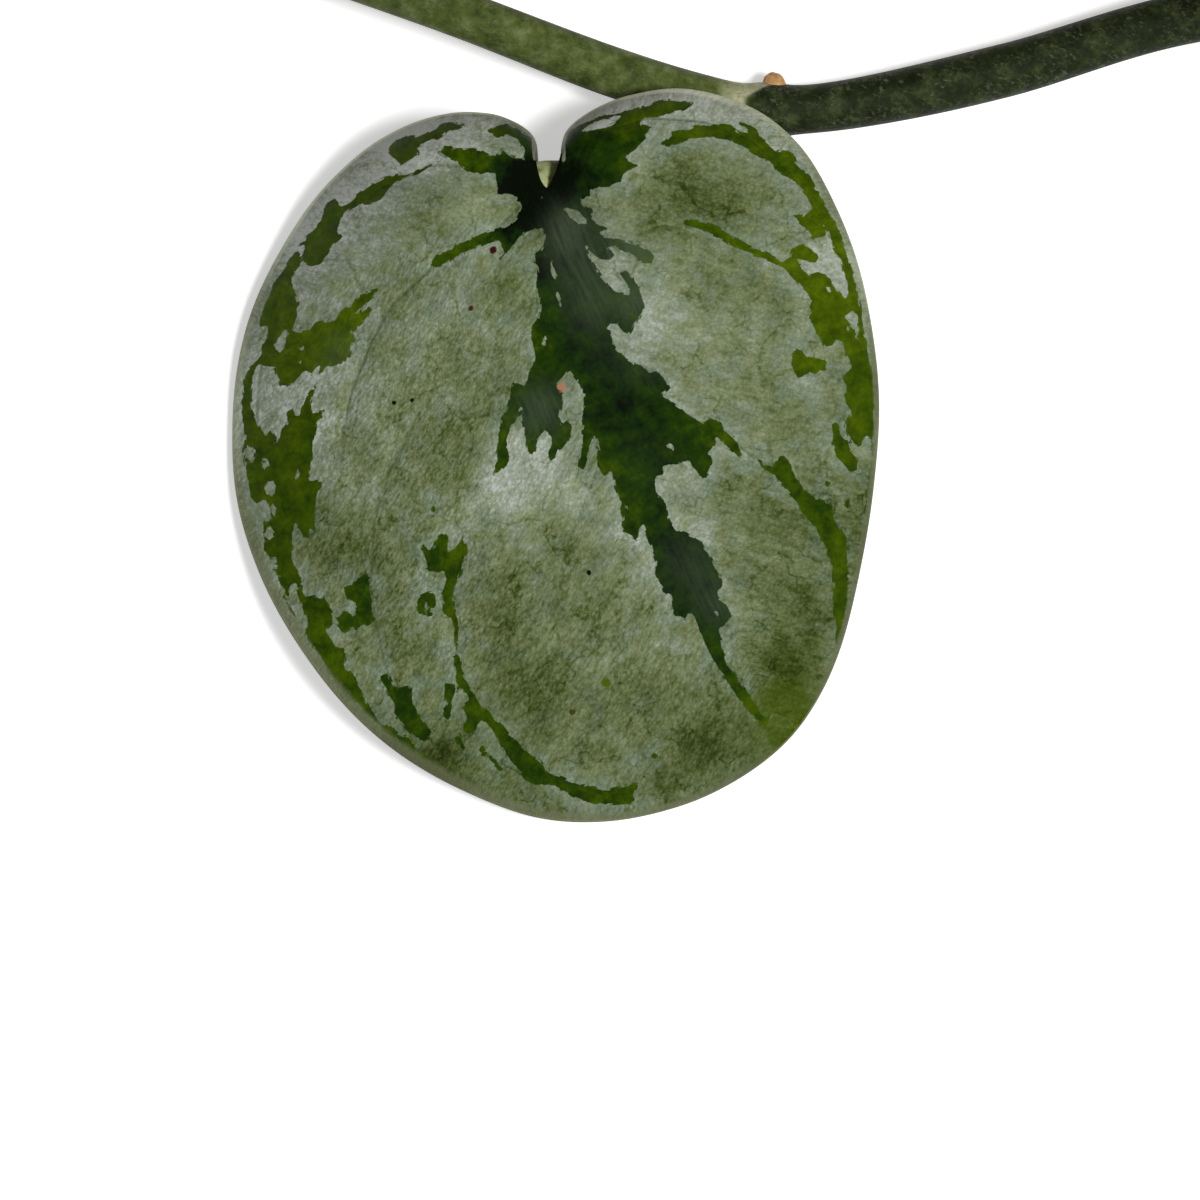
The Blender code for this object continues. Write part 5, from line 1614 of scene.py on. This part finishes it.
# %% What the finish reads on a leaf
# The width of the band that rolls down, in hundredths, round the margin from the notch's left side.
BAND_PLACES = [0, 0.10, 0.18, 0.27, 0.36, 0.45, 0.6, 0.9, 0.96, 1]
BAND_WIDTHS = [0.3, 0.6, 1.3, 2.4, 2.4, 1.4, 1.2, 1.2, 0.5, 0.3]
# A leaf shorter than this is young, and fully so when YOUNG_SPAN shorter still, in mm.
GROWN_LENGTH = 40
YOUNG_SPAN = 12
# The share of the patches that the other leaves lack, and the levels that the soft spots add to.
LEFT_OUT = 0.22
PLAIN_TONE = 0.46
SHOWN_TONE = 0.42
PLAIN_GRAIN = 0.55
PLAIN_SHADE = 0.38


def kept_marks(leaf, draw):
    """The patches this leaf has: all of them on the leaf in front, and a seeded choice elsewhere."""
    return [patch for name, region in GREEN_MARKS.items() for patch in region
            if leaf is SHOWN_LEAF or name == "midrib" or draw.random() > LEFT_OUT]


def leaf_values(leaf, ring, rim_points, share, under):
    """The attributes of every point, read at its place on the listed outline, so that the marks keep
    to the margin on a leaf of any shape. On every leaf but the one in front they are swayed, shifted
    and toned by seeded noise."""
    draw = np.random.default_rng(leaf.seed)
    side = 1 if leaf.lopsided > 0 else -1
    shown = leaf is SHOWN_LEAF
    places = 100 * ring[:, None] * rim_points * (side, 1)
    reading = places / SEEN
    if not shown:
        sway = np.stack([ripples(places, 34, leaf.seed + 40), ripples(places, 34, leaf.seed + 80)], axis=1)
        reading = reading + 2.6 * sway
    size = leaf.length / MM / 100
    patches = depth_inside(reading, kept_marks(leaf, draw))
    marks = np.minimum(patches, -depth_inside(reading, SILVER_MARKS)) * size
    to_margin = gap_to(places, 100 * margin(side, 120) * (side, 1))
    if shown:
        tone = SHOWN_TONE + soft_spots(reading, SILVER_TONE_AND_PAINTED_LIGHT)
    else:
        marks += 0.5 * ripples(places, 22, leaf.seed + 120) + draw.uniform(-0.35, 0.15)
        tone = PLAIN_TONE + 0.16 * ripples(places, 50, leaf.seed + 160) + draw.uniform(-0.08, 0.08)
    youth = np.clip((GROWN_LENGTH - leaf.length / MM) / YOUNG_SPAN, 0, 1)
    return {
        "place": np.column_stack([reading * size, np.full(len(places), PLACE_STEP * leaf.seed)]),
        "marks": marks,
        "tone": tone,
        "vein": np.min([gap_to(reading, np.array(vein)) for vein in VEINS], axis=0) * size,
        "grain": PLAIN_GRAIN + soft_spots(reading, COARSE_GRAIN),
        "shade": PLAIN_SHADE + soft_spots(reading, GREEN_DEPTHS) - 0.2 * youth,
        "painted_sheen": soft_spots(reading, MIDRIB_PAINTED_SHEEN),
        "fresh": soft_spots(reading, TIP_TINT) + 0.5 * youth,
        "painted_edge_light": soft_spots(reading, PAINTED_EDGE_LIGHTS),
        "rim": to_margin / np.interp(share if side > 0 else 1 - share, BAND_PLACES, BAND_WIDTHS),
        "under": under,
    }


print("marks on the second leaf:", len(kept_marks(LEAVES[1], np.random.default_rng(LEAVES[1].seed))))

# %% The blade's points
# The blade's thickness in the middle, and the share of it that is gone at the margin.
BLADE_THICKNESS = 0.7 * MM
RIM_THINNING = 0.25
# The leaf in front lies flat, so its relief goes straight up and its marks stay where they are drawn.
UP = np.array([0, 0, 1.0])


def blade_surface(leaf, columns, top_rows, skip):
    """The blade's points, at ring * margin for every row and column of the shell, and its attributes.
    2.6 * sqrt(ring) * (1 - ring) * (0.016 or -0.012) rounds the notch's foot out on each side. A side
    vein is a groove of 0.16 mm, the skin between veins stands 0.10 mm up, and the midrib is a ridge of
    0.5 mm below."""
    profile = blade_profile(top_rows, skip)
    rows = len(profile) - 2
    row = np.concatenate([[0], np.repeat(np.arange(1, rows + 1), columns), [rows + 1]])
    column = np.concatenate([[0], np.tile(np.arange(columns), rows), [0]])
    ring, depth = profile[row].T
    share = np.linspace(0, 1, columns)[column]
    x, y = (ring[:, None] * margin(leaf.lopsided, columns)[column]).T
    widened = 0.016 * np.exp((share - 1) / 0.02) - 0.012 * np.exp(-share / 0.02)
    x = x + 2.6 * np.sqrt(ring) * (1 - ring) * widened
    listed = margin(1 if leaf.lopsided > 0 else -1, columns)[column]
    values = leaf_values(leaf, ring, listed, share, smoothstep(depth, 0.4, 0.9))

    off_rim = smoothstep(1 - ring, 0.02, 0.2)
    groove = -0.16 * MM * np.exp(-((values["vein"] / 0.55) ** 2)) * off_rim
    quilt = 0.10 * MM * smoothstep(values["vein"], 0.3, 3.0) * off_rim
    rib = 0.5 * MM * np.exp(-((x / 0.016) ** 2)) * (1 - np.clip(y, 0, 1)) * (y > 0)
    thick = BLADE_THICKNESS * (1 - RIM_THINNING * ring**2) * depth + rib * (depth > 0.9)
    height = leaf.length * blade_height(x, y, ring, leaf) + groove + quilt - thick
    points = leaf.base + leaf.length * (x[:, None] * leaf.right + y[:, None] * leaf.down)
    points += height[:, None] * (UP if leaf is SHOWN_LEAF else leaf.face)
    return points, values


print("the blade at its margin:", round((1 - RIM_THINNING) * BLADE_THICKNESS / MM, 2), "mm thick")

# %% The leaves, each a blade and its stalk
PETIOLE_RADIUS = 1.15 * MM
STALK_STEPS = 28
STALK_SIDES = 14
# Columns round the margin, rows over the top, and how many of those a row below takes in.
FINE = (481, 190, 19)
PLAIN = (113, 54, 9)


def make_leaf(name, leaf, columns, top_rows, skip):
    """One leaf: the blade and its stalk as one piece. near_blade is the share of the way along the
    stalk."""
    parts = Parts()
    points, values = blade_surface(leaf, columns, top_rows, skip)
    parts.add(points, blade_faces(top_rows, skip, columns), 0, **values)
    stations = np.linspace(0, leaf.stalk.length, STALK_STEPS)
    width = PETIOLE_RADIUS * np.interp(stations / leaf.stalk.length, [0, 0.1, 0.6, 1], [1.35, 1.05, 1, 0.5])
    stalk, faces, _ = tube(leaf.stalk.at(stations), width, STALK_SIDES)
    along = np.concatenate([np.repeat(stations, STALK_SIDES), [0, leaf.stalk.length]])
    parts.add(stalk, faces, 1, near_blade=along / leaf.stalk.length)
    return parts.piece("scindapsus_" + name, [LEAF_FINISH, STALK_FINISH], "leaf_blade", [name])


total = 0
for number, leaf in enumerate(LEAVES, 1):
    piece = make_leaf(f"leaf_{number:02d}", leaf, *(FINE if leaf is SHOWN_LEAF else PLAIN))
    total += len(piece.data.polygons)
print("leaves:", total, "faces")

# %% [markdown]
# ## Floor, light and camera
#
# The plant stands on a plain pale floor under a plain sky. Rays from the camera, from a gloss and
# through glass see the floor glow a little and the sky at full white. The rays that light the plant
# don't, so it stands at a plain level of light. One soft square lamp, high up and a little to the
# right, lights the plant from a side where no other leaf shades the one in front. The camera is far
# above that leaf, with a long lens, so that it shows almost without perspective.

# %% Floor
# It lies a hair below the pot's underside, so the two faces are never in one plane.
FLOOR_HALF = 3.0
FLOOR_DROP = 0.05 * MM
FLOOR_GLOW = 0.48


def seen_directly(tree):
    """1 for rays from the camera, from a gloss or through glass, and 0 for those that light things."""
    path = tree.nodes.new("ShaderNodeLightPath")
    seen = path.outputs["Is Camera Ray"]
    for kind in ("Is Glossy Ray", "Is Transmission Ray"):
        either = tree.nodes.new("ShaderNodeMath")
        either.operation = "MAXIMUM"
        tree.links.new(seen, either.inputs[0])
        tree.links.new(path.outputs[kind], either.inputs[1])
        seen = either.outputs[0]
    return seen


def floor_finish():
    """Pale and matt, with the glow that only direct rays see."""
    f = Finish("studio_floor", Roughness=1.0, Specular_IOR_Level=0.0)
    f.set(f.skin, {
        "Base Color": (0.8, 0.8, 0.8),
        "Emission Color": (1.0, 1.0, 1.0),
        "Emission Strength": f.times(seen_directly(f.tree), FLOOR_GLOW),
    })
    return f.material


floor_mesh = bpy.data.meshes.new("floor")
corners = np.array([(-1, -1, 0), (1, -1, 0), (1, 1, 0), (-1, 1, 0)]) * FLOOR_HALF - (0, 0, FLOOR_DROP)
floor_mesh.from_pydata(corners.tolist(), [], [(0, 1, 2, 3)])
floor_mesh.materials.append(floor_finish())
floor = bpy.data.objects.new("floor", floor_mesh)
bpy.context.scene.collection.objects.link(floor)
print("floor:", 2 * FLOOR_HALF, "m wide, at", -FLOOR_DROP / MM, "mm")

# %% World
SKY_LIGHT = 0.28
SKY_WHITE = 1.0
world = bpy.data.worlds.new("studio")
world.use_nodes = True
bpy.context.scene.world = world
sky = world.node_tree.nodes["Background"]
sky.inputs["Color"].default_value = (1, 1, 1, 1)
pick = world.node_tree.nodes.new("ShaderNodeMapRange")
pick.inputs["To Min"].default_value = SKY_LIGHT
pick.inputs["To Max"].default_value = SKY_WHITE
world.node_tree.links.new(seen_directly(world.node_tree), pick.inputs["Value"])
world.node_tree.links.new(pick.outputs["Result"], sky.inputs["Strength"])
print("sky:", SKY_LIGHT, "as a light and", SKY_WHITE, "as a backdrop")

# %% Lamp and camera
VIEW_CENTRE = np.array([-25.45, -149.55, 0]) * MM
VIEW_HEIGHT = 900 * MM
VIEW_WIDTH = 92.3 * MM
SENSOR_WIDTH = 36
LAMP_AZIMUTH = math.radians(-6)
LAMP_ELEVATION = math.radians(70)
LAMP_DISTANCE = 1.6
LAMP_SIZE = 0.35
LAMP_POWER = 23

level = math.cos(LAMP_ELEVATION)
towards_lamp = np.array([
    level * math.cos(LAMP_AZIMUTH), level * math.sin(LAMP_AZIMUTH), math.sin(LAMP_ELEVATION)])
lamp_data = bpy.data.lights.new("key", "AREA")
lamp_data.size = LAMP_SIZE
lamp_data.energy = LAMP_POWER
lamp = bpy.data.objects.new("key", lamp_data)
lamp.location = VIEW_CENTRE + LAMP_DISTANCE * towards_lamp
lamp.rotation_euler = (math.pi / 2 - LAMP_ELEVATION, 0, LAMP_AZIMUTH + math.pi / 2)
bpy.context.scene.collection.objects.link(lamp)

lens = bpy.data.cameras.new("camera")
lens.sensor_width = SENSOR_WIDTH
lens.lens = SENSOR_WIDTH * VIEW_HEIGHT / VIEW_WIDTH
camera = bpy.data.objects.new("camera", lens)
camera.location = VIEW_CENTRE + VIEW_HEIGHT * UP
bpy.context.scene.collection.objects.link(camera)
bpy.context.scene.camera = camera
bpy.context.scene.view_settings.view_transform = "Standard"
print("lens:", round(lens.lens), "mm")

# %%
